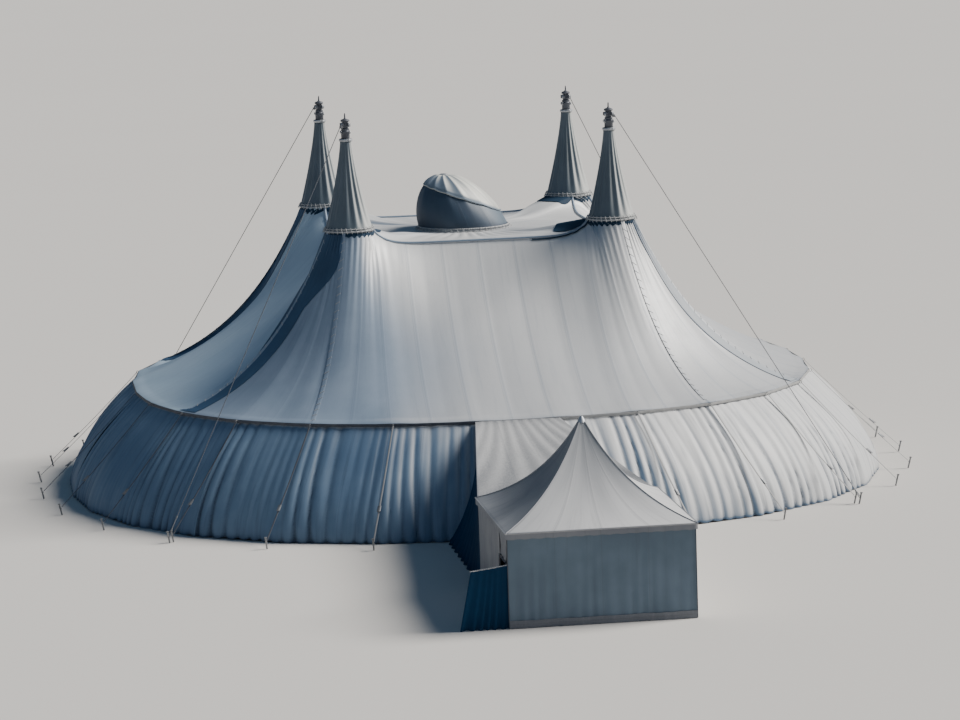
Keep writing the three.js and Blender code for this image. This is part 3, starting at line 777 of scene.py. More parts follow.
def canopyPanel(side, k):
    w, t = shares((-1, 1, canopy["panelColumns"] + 1), (0, 1, canopy["rows"] + 1))
    # Wear at the head, the hem and the seams; the flanks below the collars and the creased panels' valleys
    # get painted shade.
    wearAndShade = edgeWear(t, 0.5, 0.02, 0.3, 0.03) + 0.35 * np.exp((np.abs(w) - 1) / 0.012)
    wearAndShade = wearAndShade + 0.4 * bell(np.abs(w), 0.88, 0.13) * np.exp(-t / 0.12)
    if k % 2 == 1:
        inwards = (1 - np.abs(w)) / tent["creaseReach"]
        wearAndShade = wearAndShade + 0.6 * bell(inwards, 0.9, 0.7) * np.clip(4 * t * (1 - t), 0, 1)
    restsOn = ["mast_" + cornerNames[k], "mast_" + cornerNames[k - 1], "side_poles_" + side]
    grid, look = quarterTurn(panelCloth(k, w, t), k), canopy["looks"].get(side, "canopy")
    return canopyPiece("canopy_" + side, grid, look, wearAndShade, canopy["panelSoft"])


def canopyCorner(corner, k):
    v, t = shares((-1, 1, canopy["cornerColumns"] + 1), (0, 1, canopy["rows"] + 1))
    wearAndShade = edgeWear(t, 0.5, 0.02, 0.3, 0.03) + 0.35 * np.exp((np.abs(v) - 1) / 0.03)
    grid = quarterTurn(cornerCloth(k, v, t), k)
    return canopyPiece("canopy_corner_" + corner, grid, "canopy", wearAndShade, canopy["cornerSoft"])


canopyPieces = []
for k in range(4):
    canopyPieces += [canopyPanel(sideNames[k], k), canopyCorner(cornerNames[k], k)]
print("stage 3: canopy")


# Lapped seams, laced with rope, between the main panels and the corner panels

seam = {
    "width": 0.15, "thickness": 0.014, "lift": 0.01, "foot": 0.995, "places": 120, "beside": 0.93,
    "rope": 0.01, "laceStart": 0.35, "laceEnd": 0.2, "laceStep": 0.34, "laceRun": 0.12, "laceWidth": 0.075,
    "stripeHead": 0.36, "stripeFoot": 0.07, "cornerHead": 0.77, "cornerFoot": 0.17, "atBack": 0.55,
    "stripeColumns": 17, "stripeRows": 70, "stripeTaper": 1.3, "stripeLift": 0.022,
    "spreadFrom": 0.06, "spreadTo": 0.27, "spread": {"left": 1.19, "right": 0.0},
}


def canopySeams(corner, k):
    flaps, laces = Shape(), Shape()
    t = np.linspace(0.0, seam["foot"], seam["places"])
    middle = np.array([0, 0, seam["lift"] + seam["thickness"] / 2])
    high = np.array([0, 0, seam["thickness"] + seam["lift"] + 0.01])
    for v in (-1.0, 1.0):
        path = quarterTurn(onCorner(np.full_like(t, v), t), k)
        beside = quarterTurn(onCorner(np.full_like(t, v * seam["beside"]), t), k) - path
        bandAlong(flaps, path + middle, beside, seam["width"], seam["thickness"], 0.04)
        run = lengths(path[:, None], 0)[:, 0]

        def along(values, place):
            return np.array([np.interp(place, run, values[:, i]) for i in range(3)])

        for start in np.arange(seam["laceStart"], run[-1] - seam["laceEnd"], seam["laceStep"]):
            at, on = along(path, start), along(path, start + seam["laceRun"])
            wide = unit(along(beside, start)) * seam["laceWidth"]
            tubeAlong(laces, [at - wide, at - wide + high, on + wide + high, on + wide], seam["rope"], 5)
    flaps.build("seam_flaps_" + corner, "seam", "canopy_membrane")
    laces.build("seam_lacing_" + corner, "rope", "guy_webbing")


# Painted shade: a dark sheet on both sides of each seam that lies in a valley, wide at the mast, stands in
# for the valley's shade
def addShadeStripe(shape, cloth, k, edge, head, foot, spread=0.0):
    u, t = shares((0, 1, seam["stripeColumns"]), (0.006, 0.985, seam["stripeRows"]))
    share = np.clip((seam["spreadTo"] - t) / (seam["spreadTo"] - seam["spreadFrom"]), 0, 1)
    reach = mix(foot, head, (1 - t) ** seam["stripeTaper"]) + spread * smooth(share)
    grid = cloth(k, edge * (1 - 0.004 - reach * (u if edge < 0 else 1 - u)), t)
    grid = grid + normals(grid) * seam["stripeLift"]
    addSkin(shape, quarterTurn(grid, k), 0.3 * (1 - t))


def valleyShadeStripes(side, k):
    stripes = Shape()
    for edge in (-1, 1):
        share = seam["atBack"] if (edge < 0) == (side == "left") else 1.0
        addShadeStripe(stripes, panelCloth, k, edge, seam["stripeHead"] * share, seam["stripeFoot"] * share)
        corner = (k - 1) % 4 if edge < 0 else k
        addShadeStripe(
            stripes, cornerCloth, corner, -edge, seam["cornerHead"], seam["cornerFoot"], seam["spread"][side]
        )
    stripes.build("valley_stripes_" + side, "navy", "canopy_membrane")


for k in range(4):
    canopySeams(cornerNames[k], k)
for k in (1, 3):
    valleyShadeStripes(sideNames[k], k)


# Crown between the four ridges, with folds that run in to the cupola's ring

crown = {
    "ridgePlaces": 46, "collarPlaces": 10, "rows": 34, "folds": 44, "fold": 0.03, "sway": 0.05,
    "ringRadius": 1.702, "ringHeight": 9.3, "weltPlaces": 60, "welt": 0.05, "weltLift": 0.03,
}


def crownRim():
    ridge = ridgeLine(np.linspace(-ridgeSpan, ridgeSpan, crown["ridgePlaces"], endpoint=False))
    turn = np.linspace(-quarter, -math.pi, crown["collarPlaces"], endpoint=False)
    collar = aim(turn, tent["ringRadius"], tent["ringHeight"]) + firstMast
    side = np.concatenate([ridge, collar])
    return np.concatenate([quarterTurn(side, k) for k in range(4)])


def crownCloth(rim, t):
    turn = np.arctan2(rim[:, 1], rim[:, 0])[:, None]
    radius = mix(np.hypot(rim[:, 0], rim[:, 1])[:, None], crown["ringRadius"], t)
    grid = roundAbout(radius, turn, mix(rim[:, 2:], crown["ringHeight"], 1 - (1 - t) ** 1.8))
    folds = np.cos(crown["folds"] * turn + 1.2 * ripple(5, turn * 2, t * 2))
    rise = crown["fold"] * folds * arch(t ** 1.6) * (0.35 + t)
    sway = ripple(6, grid[..., 0] * 1.1, grid[..., 1] * 1.1) * arch(t)
    grid[..., 2] += rise + crown["sway"] * sway
    return grid


def makeCrown():
    rim = crownRim()
    t = np.linspace(0, 1, crown["rows"])[None, :]
    crownPiece = makeSheet(
        "crown_membrane", crownCloth(rim, t), "canopy", "canopy_membrane",
        ["crown"],
        edgeWear(t, 0.4, 0.06, 0.25, 0.04), loop=True,
    )
    welt = Shape()
    ridge = ridgeLine(np.linspace(-ridgeSpan, ridgeSpan, crown["weltPlaces"]), crown["weltLift"])
    for k in range(4):
        tubeAlong(welt, quarterTurn(ridge, k), crown["welt"], 10, 0.2)
    welt.build("ridge_welts", "canopy", "canopy_membrane")
    return crownPiece


# Cupola: a light cap with a tilted lip over a dark skirt, laced to its ring. The skirt's dark cloth is
# painted shade under the lip.

cupola = {
    "radius": 1.7, "foot": 9.38, "top": 11.36, "lean": -0.7, "ribs": 14, "around": 144, "rows": 30,
    "lipMiddle": 0.72, "lipTilt": 0.22, "lipOut": 0.05, "lipDrop": 0.05, "lipSize": 0.03, "lipPlaces": 181,
    "cap": [(0.02, -0.05), (0.16, -0.03), (0.16, 0.0), (0.1, 0.03), (0.05, 0.035)], "capLift": 0.02,
}
cupolaLacing = {
    "rings": ((1.72, 9.42, 0.028), (1.76, 9.33, 0.02)), "ringPlaces": 121,
    "lace": ((1.73, 9.44), (1.79, 9.39), (1.86, 9.32)), "laces": 48, "slant": 0.05, "laceSize": 0.011,
}


# The dome's cloth at turn and share s, from its apex (0) to its foot (1)
def cupolaCloth(turn, s, out=0.0):
    lift = (1 - s * s) ** 0.6
    between = np.abs(np.sin(turn * cupola["ribs"] / 2))
    sag = 0.035 * between * arch(s) + 0.01 * ripple(9, turn * 9, s * 5) * s - out
    z = cupola["foot"] + (cupola["top"] - cupola["foot"]) * lift - sag
    grid = roundAbout(cupola["radius"] * s - sag * 0.7, turn, z)
    grid[..., 0] += cupola["lean"] * lift
    return grid, between


def lipAt(turn):
    return cupola["lipMiddle"] + cupola["lipTilt"] * np.cos(turn)


def makeCupola():
    share = np.linspace(0, 1, cupola["rows"])[None, :]
    turn = wholeTurn(cupola["around"])[:, None]
    lip = lipAt(turn)
    grid, between = cupolaCloth(turn, mix(0.04, lip, share), cupola["lipOut"] * np.clip(share * 4, 0, 1))
    grid[:, -1, 2] -= cupola["lipDrop"]
    wearAndShade = edgeWear(share, 0.4, 0.08) + 0.2 * (1 - between)
    makeSheet(
        "cupola_dome_membrane", grid, "cap", "cone_membrane",
        ["cupola_dome"], wearAndShade, loop=True,
    )
    grid, between = cupolaCloth(turn, mix(lip - 0.06, 0.999, share))
    wearAndShade = edgeWear(share, 0.5, 0.08, 0.3, 0.1) + 0.2 * (1 - between)
    makeSheet(
        "cupola_shade_skirt_membrane", grid, "skirt", "cone_membrane",
        (), wearAndShade, loop=True,
    )
    edge, cap = Shape(), Shape()
    around = np.linspace(0, 2 * math.pi, cupola["lipPlaces"])
    path = cupolaCloth(around, lipAt(around), cupola["lipOut"])[0]
    path[:, 2] -= cupola["lipDrop"]
    tubeAlong(edge, path, cupola["lipSize"], 8, 0.2)
    edge.build("cupola_lip", "cap", "cone_membrane")
    turned(cap, (cupola["lean"], 0, cupola["top"] + cupola["capLift"]), cupola["cap"], 24)
    cap.build("cupola_cap", "galvanised", "pole_steel")
    lacedCollar("cupola_lacing", np.zeros(3), cupolaLacing)


canopyPieces.append(makeCrown())
makeCupola()
print("stage 4: crown and cupola")


# Painted shadow: dark skirts laid round the masts' collars, narrow over the canopy and wider over the crown,
# stand in for the masts' shade. The front right one reaches furthest, and a dark strip runs from it below the
# front ridge as a painted shadow.

skirt = {
    "inner": 0.87, "outer": 0.93, "lift": 0.03, "around": 216, "rows": 16, "start": 11.5,
    "crownOuter": {"front_right": 2.25, "back_right": 1.5, "back_left": 1.5, "front_left": 1.35},
    "stripFrom": 0.28, "stripDrop": 0.022, "stripColumns": 60, "stripRows": 6,
}


# The height of the highest cloth below each point
def heightsOver(pieces, points):
    trees = []
    for piece in pieces:
        corners = [vertex.co.copy() for vertex in piece.data.vertices]
        trees.append(BVHTree.FromPolygons(corners, [tuple(face.vertices) for face in piece.data.polygons]))
    heights = np.full(len(points), -np.inf)
    for i, point in enumerate(toModel(points)):
        for tree in trees:
            hit = tree.ray_cast(Vector(point), Vector((0, 0, -1)))[0]
            if hit is not None:
                heights[i] = max(heights[i], hit.z / modelScale)
    return heights


def ridgeShadowStrip():
    share, down = shares((0, 1, skirt["stripColumns"]), (0, 1, skirt["stripRows"]))
    w = mix(skirt["stripFrom"], onRidge, share)
    grid = panelCloth(0, w, skirt["stripDrop"] * (0.45 + 0.55 * share) * down)
    return grid + normals(grid) * seam["stripeLift"]


def collarShadowSkirts():
    grids, turn = [], wholeTurn(skirt["around"])[:, None]
    for k in range(4):
        crownward = np.cos(turn - (2 * k + 3) * quarter / 2)
        widen = smooth(np.clip((crownward - 0.68) / 0.27, 0, 1))
        outer = mix(skirt["outer"], skirt["crownOuter"][cornerNames[k]], widen)
        radius = mix(skirt["inner"], outer, np.linspace(0, 1, skirt["rows"])[None, :])
        grids.append(roundAbout(radius, turn, 0.0) + mastAt(k, skirt["start"]))
    grids = np.stack(grids)
    grids[..., 2] = heightsOver(canopyPieces, grids.reshape(-1, 3)).reshape(grids.shape[:-1]) + skirt["lift"]
    for k, grid in enumerate(grids):
        shape = Shape()
        addSkin(shape, grid, 0.25, loop=True)
        if k == 0:
            addSkin(shape, ridgeShadowStrip(), 0.15)
        shape.build("collar_skirt_" + cornerNames[k], "collar", "canopy_membrane")


collarShadowSkirts()


# Mast cones: cloth drawn up each mast in soft pleats, clamped at the top, laced to a collar below

cone = {
    "foot": 9.902, "top": 13.3, "footRadius": 0.89, "topRadius": 0.2, "leastRadius": 0.185,
    "pleats": 14, "pleat": 0.05, "gather": 0.012, "around": 112, "rows": 44,
    "clamp": [(0.19, 13.2), (0.235, 13.2), (0.245, 13.22), (0.245, 13.27), (0.235, 13.29), (0.19, 13.29)],
    "bolt": [(0.012, 13.2), (0.035, 13.21), (0.035, 13.28), (0.012, 13.29)], "boltReach": 0.245,
}
coneLacing = {
    "rings": ((0.9, 9.93, 0.03), (0.88, 10.02, 0.018)), "ringPlaces": 97,
    "lace": ((0.86, 10.08), (0.92, 10.0), (0.97, 9.87)), "laces": 32, "slant": 0.035, "laceSize": 0.01,
}


def makeCone(corner, k):
    centre = mastAt(k)
    s = np.linspace(1, 0, cone["rows"])[None, :]
    turn = wholeTurn(cone["around"])[:, None]
    radius = mix(cone["topRadius"], cone["footRadius"], (1 - s) ** 1.35)
    pleats = folded(cone["pleats"] * turn + 0.7 * ripple(40 + k, turn * 2, s * 2) + 1.2 * s)
    radius = radius - cone["pleat"] * arch(s ** 0.7) * (0.5 + 0.8 * radius) * pleats
    gather = cone["gather"] * np.cos(3 * cone["pleats"] * turn) * (s > 0.965)
    radius = np.maximum(radius + gather, cone["leastRadius"])
    grid = roundAbout(radius, turn, mix(cone["foot"], cone["top"], s)) + centre
    # Wear at the foot and the head; the pleats' hollows get painted shade.
    wearAndShade = edgeWear(s, 0.5, 0.04, 0.3, 0.03) + 0.25 * pleats * arch(s)
    makeSheet(
        "mast_cone_%s_membrane" % corner, grid, "cone", "cone_membrane",
        ["mast_cone_" + corner], wearAndShade, loop=True,
    )
    steel = Shape()
    turned(steel, centre, cone["clamp"], 28)
    for angle in (0.4, math.pi + 0.4):
        turned(steel, aim(angle, cone["boltReach"]) + centre, cone["bolt"], 8)
    steel.build("mast_fittings_" + corner, "galvanised", "pole_steel")
    lacedCollar("collar_lacing_" + corner, centre, coneLacing)


# Tube masts on a ribbed foot plate, with sheaves, lugs and a finial at the head

mast = {
    "radius": 0.16, "tube": (0.04, 4.0, 9.0), "plate": 0.55, "plateThickness": 0.05,
    "rib": ((0.144, 0.2), (0.32, 0.15), (0.5, 0.08)), "ribWidth": 0.16, "ribThickness": 0.02,
    "sheave": 0.085, "sheaveReach": 0.13, "sheaveHeight": 13.8,
    "wheel": ((-0.03, 1.0), (-0.02, 1.0), (0.0, 0.8), (0.02, 1.0), (0.03, 1.0)),
    "cheek": (-0.05, 0.01, 0.08), "cheekOut": 0.045, "cheekWidth": 0.13, "cheekThickness": 0.02,
    "lugReach": 0.2, "lugHeight": 13.53, "lugSize": 0.05, "lugBar": 0.012,
    "head": [
        (0.16, 13.46), (0.19, 13.5), (0.19, 13.56), (0.15, 13.6), (0.15, 13.66), (0.11, 13.7), (0.11, 13.9),
        (0.16, 13.92), (0.17, 13.96), (0.14, 13.995), (0.06, 14.02), (0.03, 14.06),
        (0.022, 14.2), (0.004, 14.24),
    ],
}


def makeMast(corner, k):
    centre = mastAt(k)
    tube, sheaves = Shape(), Shape()
    turned(tube, centre, [(mast["radius"], z) for z in mast["tube"]] + mast["head"], 24)
    half, thick = mast["plate"], mast["plateThickness"]
    plate = centre + np.array([(x, 0, thick / 2) for x in (-half, 0, half)])
    bandAlong(tube, plate, (0, 1, 0), 2 * half, thick)
    for i in range(4):
        out = aim(quarter / 2 + i * quarter, 1.0)
        side = np.cross(out, (0, 0, 1.0))
        rib = centre + np.array([out * reach + (0, 0, z) for reach, z in mast["rib"]])
        bandAlong(tube, rib, (0, 0, 1), mast["ribWidth"], mast["ribThickness"], 0.3)
        hub = centre + out * mast["sheaveReach"] + (0, 0, mast["sheaveHeight"])
        wheel = np.array(mast["wheel"])
        tubeAlong(sheaves, hub + side * wheel[:, :1], mast["sheave"] * wheel[:, 1], 20)
        cheek = out * np.array(mast["cheek"])[:, None]
        for edge in (-mast["cheekOut"], mast["cheekOut"]):
            bandAlong(tube, hub + side * edge + cheek, (0, 0, 1), mast["cheekWidth"], mast["cheekThickness"])
        lug = centre + out * mast["lugReach"] + (0, 0, mast["lugHeight"])
        barRing(sheaves, lug, out, mast["lugSize"], mast["lugBar"], 13)
    piece = tube.build("mast_tube_" + corner, "mast", "mast_paint")
    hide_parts("mast_" + corner)
    sheaves.build("mast_sheaves_" + corner, "galvanised", "pole_steel")


for k in range(4):
    makeCone(cornerNames[k], k)
    makeMast(cornerNames[k], k)
print("stage 5: mast cones and masts")


# Side wall: pleats that fan out below each pole, over a scalloped hem

wall = {
    "columnsPerBay": 54, "rows": 30, "pleatsPerBay": 7.5, "topDepth": 0.04, "hemDepth": 0.085,
    "out": 0.015, "swell": 0.05, "wrinkle": 0.007, "fan": 0.05, "hemLift": 0.1, "overlap": 0.012,
    "leastHeight": 0.004,
}
wallRuns = [
    ("wall_front_right", 1, 3), ("wall_right_front", 4, 4), ("wall_right_back", 8, 3),
    ("wall_back_right", 11, 4), ("wall_back_left", 15, 3), ("wall_left_back", 18, 4),
    ("wall_left_front", 22, 3), ("wall_front_left", 25, 3),
]


def makeWall(name, firstPole, bays, seed):
    x = np.linspace(-wall["overlap"], bays + wall["overlap"], bays * wall["columnsPerBay"] + 1)[:, None]
    s = np.linspace(0, 1, wall["rows"] + 1)[None, :]
    around = firstPole + x
    grid = onWall((around - 0.5) * bayAngle + 0 * s, s + 0 * x)
    fan = wall["fan"] * np.sin(2 * math.pi * around) * (1 - s)
    phase = wall["pleatsPerBay"] * (around + fan) + 0.5 * ripple(seed, around * 5, s * 1.3)
    pleat = (1 - np.abs(arch(phase))) ** 1.25
    uneven = np.clip(0.75 + 0.45 * ripple(seed + 1, around * 6, s), 0.15, 1.6)
    depth = mix(wall["topDepth"], wall["hemDepth"], s) * uneven
    swell = wall["swell"] * ripple(seed + 2, around * 1.7, s * 3) * arch(s)
    swell = swell + wall["wrinkle"] * ripple(seed + 4, around * 70, s * 5) * (0.3 + 0.7 * s)
    grid = grid + normals(grid) * (wall["out"] - depth * pleat + swell)[..., None]
    lift = wall["hemLift"] * (0.25 + 0.75 * pleat) * np.clip((s - 0.93) / 0.07, 0, 1) ** 1.5
    lift = lift * (0.6 + 0.4 * ripple(seed + 3, around * 4, 0 * s))
    grid[..., 2] = np.maximum(grid[..., 2] + lift, wall["leastHeight"])
    # Wear at the hem and the head; the pleats' hollows get painted shade.
    wearAndShade = edgeWear(s, 0.75, 0.03, 0.2, 0.03) + 0.8 * pleat * uneven * (0.5 + 0.5 * s)
    makeSheet(
        name + "_curtain", grid, "wall", "wall_membrane",
        [name], wearAndShade,
    )


for i, (name, firstPole, bays) in enumerate(wallRuns):
    makeWall(name, firstPole, bays, 60 + 5 * i)
print("stage 6: side wall")


# Edge belt, guy straps with ratchets, and ground stakes

guys = {
    "beltOut": 0.03, "beltDrop": 0.02, "beltHeight": 0.1, "beltThickness": 0.02, "polesPerSide": 7,
    "placesPerBay": 14, "ringReach": 0.08, "ringSize": 0.05, "ringBar": 0.009, "bareFrontPoles": (3, 4),
    "strapReach": 0.1, "strapHead": 3.75, "strapFoot": 0.3, "strapSag": 0.05,
    "strapWidth": 0.055, "strapThickness": 0.014, "strapPlaces": 26,
    "buckleAt": 0.72, "buckle": (0.12, 0.12, 0.05),
    "lever": ((-0.02, 0.03), (0.2, 0.06)), "leverSize": (0.09, 0.02),
    "stakeSpread": 3.7, "stakeHeight": 0.42, "stakeRadius": 0.03, "stakeCollarHeight": 0.24,
    "stakeHead": [(0.03, 0), (0.05, 0.004), (0.052, 0.03), (0.03, 0.04)],
    "stakeCollar": [(0.03, 0), (0.045, 0.003), (0.045, 0.02), (0.03, 0.024)],
}
stay = {
    "headReach": 0.28, "headHeight": 13.75, "anchorReach": 3.9, "anchorHeight": 0.3,
    "rope": 0.014, "ropeEnd": 0.75,
    "fittings": ((0.75, 0.032, 0.09), (0.68, 0.02, 0.44), (0.26, 0.032, 0.09), (0.2, 0.012, 0.2)),
    "shackle": [(0.02, 0), (0.06, 0.01), (0.06, 0.09), (0.02, 0.1)],
    "shackleReach": 0.24, "shackleHeight": 13.68, "forkOut": 0.05, "fork": (-0.12, 0.06), "forkBar": 0.012,
}


def makeStake(shape, foot, lean):
    top = foot + lean * 0.1 + (0, 0, guys["stakeHeight"])
    tubeAlong(shape, np.linspace(foot + (0, 0, 0.01), top, 6), guys["stakeRadius"], 10, 0.3)
    turned(shape, top - (0, 0, 0.02), guys["stakeHead"], 12)
    turned(shape, foot + (0, 0, guys["stakeCollarHeight"]) + lean * 0.05, guys["stakeCollar"], 12)


def makeGuys(side, k):
    belt, straps, steel = Shape(), Shape(), Shape()
    beltMiddle = tent["eaveHeight"] - guys["beltDrop"]
    angle = np.linspace(-quarter / 2, quarter / 2, guys["polesPerSide"] * guys["placesPerBay"] + 1)
    path = betweenPoles(angle, lambda pole: onPole(pole, guys["beltOut"], beltMiddle))
    bandAlong(belt, quarterTurn(path, k), (0, 0, 1), guys["beltHeight"], guys["beltThickness"], 0.2)
    for i in range(guys["polesPerSide"]):
        pole = (i - guys["polesPerSide"] / 2) * bayAngle

        def spot(beyond, z):
            return quarterTurn(onPole(pole, beyond, z), k)

        out, along = quarterTurn(aim(pole, 1.0), k), quarterTurn(aim(pole + quarter, 1.0), k)
        barRing(steel, spot(guys["ringReach"], beltMiddle), out, guys["ringSize"], guys["ringBar"], 15)
        if side == "front" and i in guys["bareFrontPoles"]:
            continue
        head, foot = spot(guys["strapReach"], guys["strapHead"]), spot(guys["stakeSpread"], guys["strapFoot"])
        share = np.linspace(0, 1, guys["strapPlaces"])[:, None]
        path = mix(head, foot, share)
        path[:, 2] -= guys["strapSag"] * arch(share[:, 0])
        bandAlong(straps, path, along, guys["strapWidth"], guys["strapThickness"], 0.3)
        run = unit(foot - head)
        middle, (reach, width, thickness) = mix(head, foot, guys["buckleAt"]), guys["buckle"]
        bandAlong(steel, [middle - run * reach, middle, middle + run * reach], along, width, thickness)
        lever = [middle + run * place + (0, 0, z) for place, z in guys["lever"]]
        bandAlong(steel, lever, along, *guys["leverSize"])
        makeStake(steel, spot(guys["stakeSpread"], 0.0), out)
    beltPiece = belt.build("edge_belt_" + side, "webbing", "guy_webbing")
    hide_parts("guys_" + side)
    straps.build("guy_straps_" + side, "webbing", "guy_webbing")
    steel.build("guy_fittings_" + side, "fittings", "pole_steel")


def makeStay(corner, k):
    ropes, steel = Shape(), Shape()
    angle = quarter / 2 + k * quarter
    reach = tent["mastOffset"] * math.sqrt(2)
    anchor = float(eaveReach(angle)) + stay["anchorReach"]
    head = aim(angle, reach + stay["headReach"], stay["headHeight"])
    foot = aim(angle, anchor, stay["anchorHeight"])
    run = unit(foot - head)
    tubeAlong(ropes, np.linspace(head, foot - run * stay["ropeEnd"], 40), stay["rope"], 8)
    for start, radius, length in stay["fittings"]:
        begin = foot - run * start
        tubeAlong(steel, np.linspace(begin, begin + run * length, 5), radius, 10)
    turned(steel, aim(angle, reach + stay["shackleReach"], stay["shackleHeight"]), stay["shackle"], 12)
    for side in (-stay["forkOut"], stay["forkOut"]):
        start, end = [foot + aim(angle + quarter, side) + run * place for place in stay["fork"]]
        tubeAlong(steel, np.linspace(start, end, 4), stay["forkBar"], 6)
    makeStake(steel, aim(angle, anchor, 0.0), aim(angle, 1.0))
    piece = ropes.build("stay_rope_" + corner, "wire", "stay_steel")
    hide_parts("mast_stay_" + corner)
    steel.build("stay_fittings_" + corner, "fittings", "stay_steel")


for k in range(4):
    makeGuys(sideNames[k], k)
    makeStay(cornerNames[k], k)
print("stage 7: belt, straps and stays")


# Annexe: a peaked marquee with hips, a valance, curtains and a side doorway

annexe = {
    "half": 2.94, "front": -30.0, "back": -23.5, "height": 2.98, "top": 6.0, "overhang": 0.06,
    "valance": 0.2, "scallop": 0.025, "pull": 1.7, "around": 200, "rows": 40, "hipSag": 0.07,
    "doorBack": -28.15, "doorFront": -29.55, "doorHeight": 2.0, "curtainDrop": 0.05,
    "frontInset": 0.004, "sideInset": 0.003, "postInset": 0.065,
    "doorBandOut": 0.006, "doorBand": (0.07, 0.016), "railMiddle": -28.8, "railReach": 0.03,
    "cornerBandOut": 0.01, "cornerBandInset": 0.03, "cornerBand": (0.09, 0.02),
    "skirtOut": 0.012, "skirtFace": 0.008, "skirtStart": 0.07, "skirtHeight": 0.13,
    "skirtPlaces": 60, "skirtSway": 0.006, "skirtBand": (0.24, 0.012),
    "peak": [(0.11, -0.22), (0.14, -0.2), (0.1, -0.1), (0.06, -0.03), (0.045, 0.0), (0.02, 0.001)],
}
annexeMiddle = (annexe["front"] + annexe["back"]) / 2
annexeDepth = (annexe["back"] - annexe["front"]) / 2
curtainTop = annexe["height"] - annexe["curtainDrop"]


# The roof's edge at perimeter place p from 0 to 4, from the front left corner round by the right
def onSquare(p, beyond, share=1.0):
    side = np.floor(p) % 4
    along = (p - np.floor(p)) * 2 - 1
    x = np.select([side == 0, side == 1, side == 2], [along, np.ones_like(p), -along], -np.ones_like(p))
    y = np.select([side == 0, side == 1, side == 2], [-np.ones_like(p), along, np.ones_like(p)], -along)
    out = annexe["overhang"] + beyond
    return x * ((annexe["half"] + out) * share), annexeMiddle + y * ((annexeDepth + out) * share)


def roofHeight(s):
    return annexe["height"] + (annexe["top"] - annexe["height"]) * hollow(s, annexe["pull"])


def makeAnnexeRoof():
    p = (np.arange(annexe["around"]) * 4 / annexe["around"])[:, None]
    q = np.linspace(0, 1, 9)[None, :]
    drop = (annexe["valance"] + annexe["scallop"] * np.sin(p * math.pi * 14) ** 2 - 0.02) * q
    flare = 0.012 * np.sin(p * math.pi * 26 + 0.7 * ripple(83, p * 6, q)) * q
    hem = Shape()
    valance = np.stack([*onSquare(p + 0 * q, flare), annexe["height"] + 0.012 - drop], -1)
    addSkin(hem, valance, 0.15 * q, loop=True, thickness=0.01)
    hemPiece = hem.build("annexe_valance", "annexe", "annexe_membrane")
    p, s = np.broadcast_arrays(p, np.linspace(0.02, 1, annexe["rows"])[None, :])
    across = (p - np.floor(p)) * 2 - 1
    sag = annexe["hipSag"] * (1 - across ** 2) * arch(s ** 0.8)
    creases = 0.012 * ripple(81, across * 9, s * 2) * (1 - across ** 2) * arch(s)
    grid = np.stack([*onSquare(p, 0.0, s), roofHeight(s) + 0.01 - sag + creases], -1)
    wearAndShade = edgeWear(s, 0.3, 0.03, 0.35, 0.05) + 0.3 * np.exp((np.abs(across) - 1) / 0.03)
    makeSheet(
        "annexe_roof_membrane", grid, "roof", "annexe_membrane",
        ["annexe_roof"], wearAndShade, loop=True,
    )
    binding, cap = Shape(), Shape()
    x, y = onSquare(np.arange(annexe["around"] + 1) * 4 / annexe["around"], 0.008)
    tubeAlong(binding, np.stack([x, y, np.full_like(x, annexe["height"] + 0.005)], -1), 0.02, 6, 0.2)
    share = np.linspace(0.03, 0.995, 40)
    for corner in range(4):
        x, y = onSquare(np.full_like(share, float(corner)), 0.0, share)
        tubeAlong(binding, np.stack([x, y, roofHeight(share) + 0.015], -1), 0.018, 6, 0.15)
    binding.build("annexe_welts", "annexe", "annexe_membrane")
    turned(cap, (0, annexeMiddle, annexe["top"]), annexe["peak"], 20)
    cap.build("annexe_peak_cap", "galvanised", "pole_steel")


# A pleated curtain between two ground points, down to a bottom height
def curtainGrid(start, end, seed, pleats, depth, inward, columns, bottom=0.0):
    u, s = np.linspace(0, 1, columns + 1)[:, None], np.linspace(0, 1, 31)[None, :]
    base = mix(np.array(start, float), np.array(end, float), u)
    fold = folded(2 * math.pi * (pleats * u + 0.3 * ripple(seed, u * 12, s * 1.2)))
    inset = depth * (0.3 + 0.7 * s) * fold
    inset = inset + 0.3 * depth * (ripple(seed + 1, u * 5, s * 3) + 1.5) * arch(s)
    z = mix(curtainTop + 0 * u, bottom, s) + hemLift(s, fold, 0.035, 0.94) + 0.004
    grid = np.concatenate([base[:, None] + np.array(inward) * inset[..., None], z[..., None]], -1)
    # Wear at the hem and the head; the folds' hollows, low down, get painted shade.
    return grid, edgeWear(s, 0.7, 0.03, 0.25, 0.03) + 0.25 * fold * s


def annexeCurtain(name, node, look, slot, **curtain):
    grid, wearAndShade = curtainGrid(**curtain)
    makeSheet(name, grid, look, slot, [node], wearAndShade)


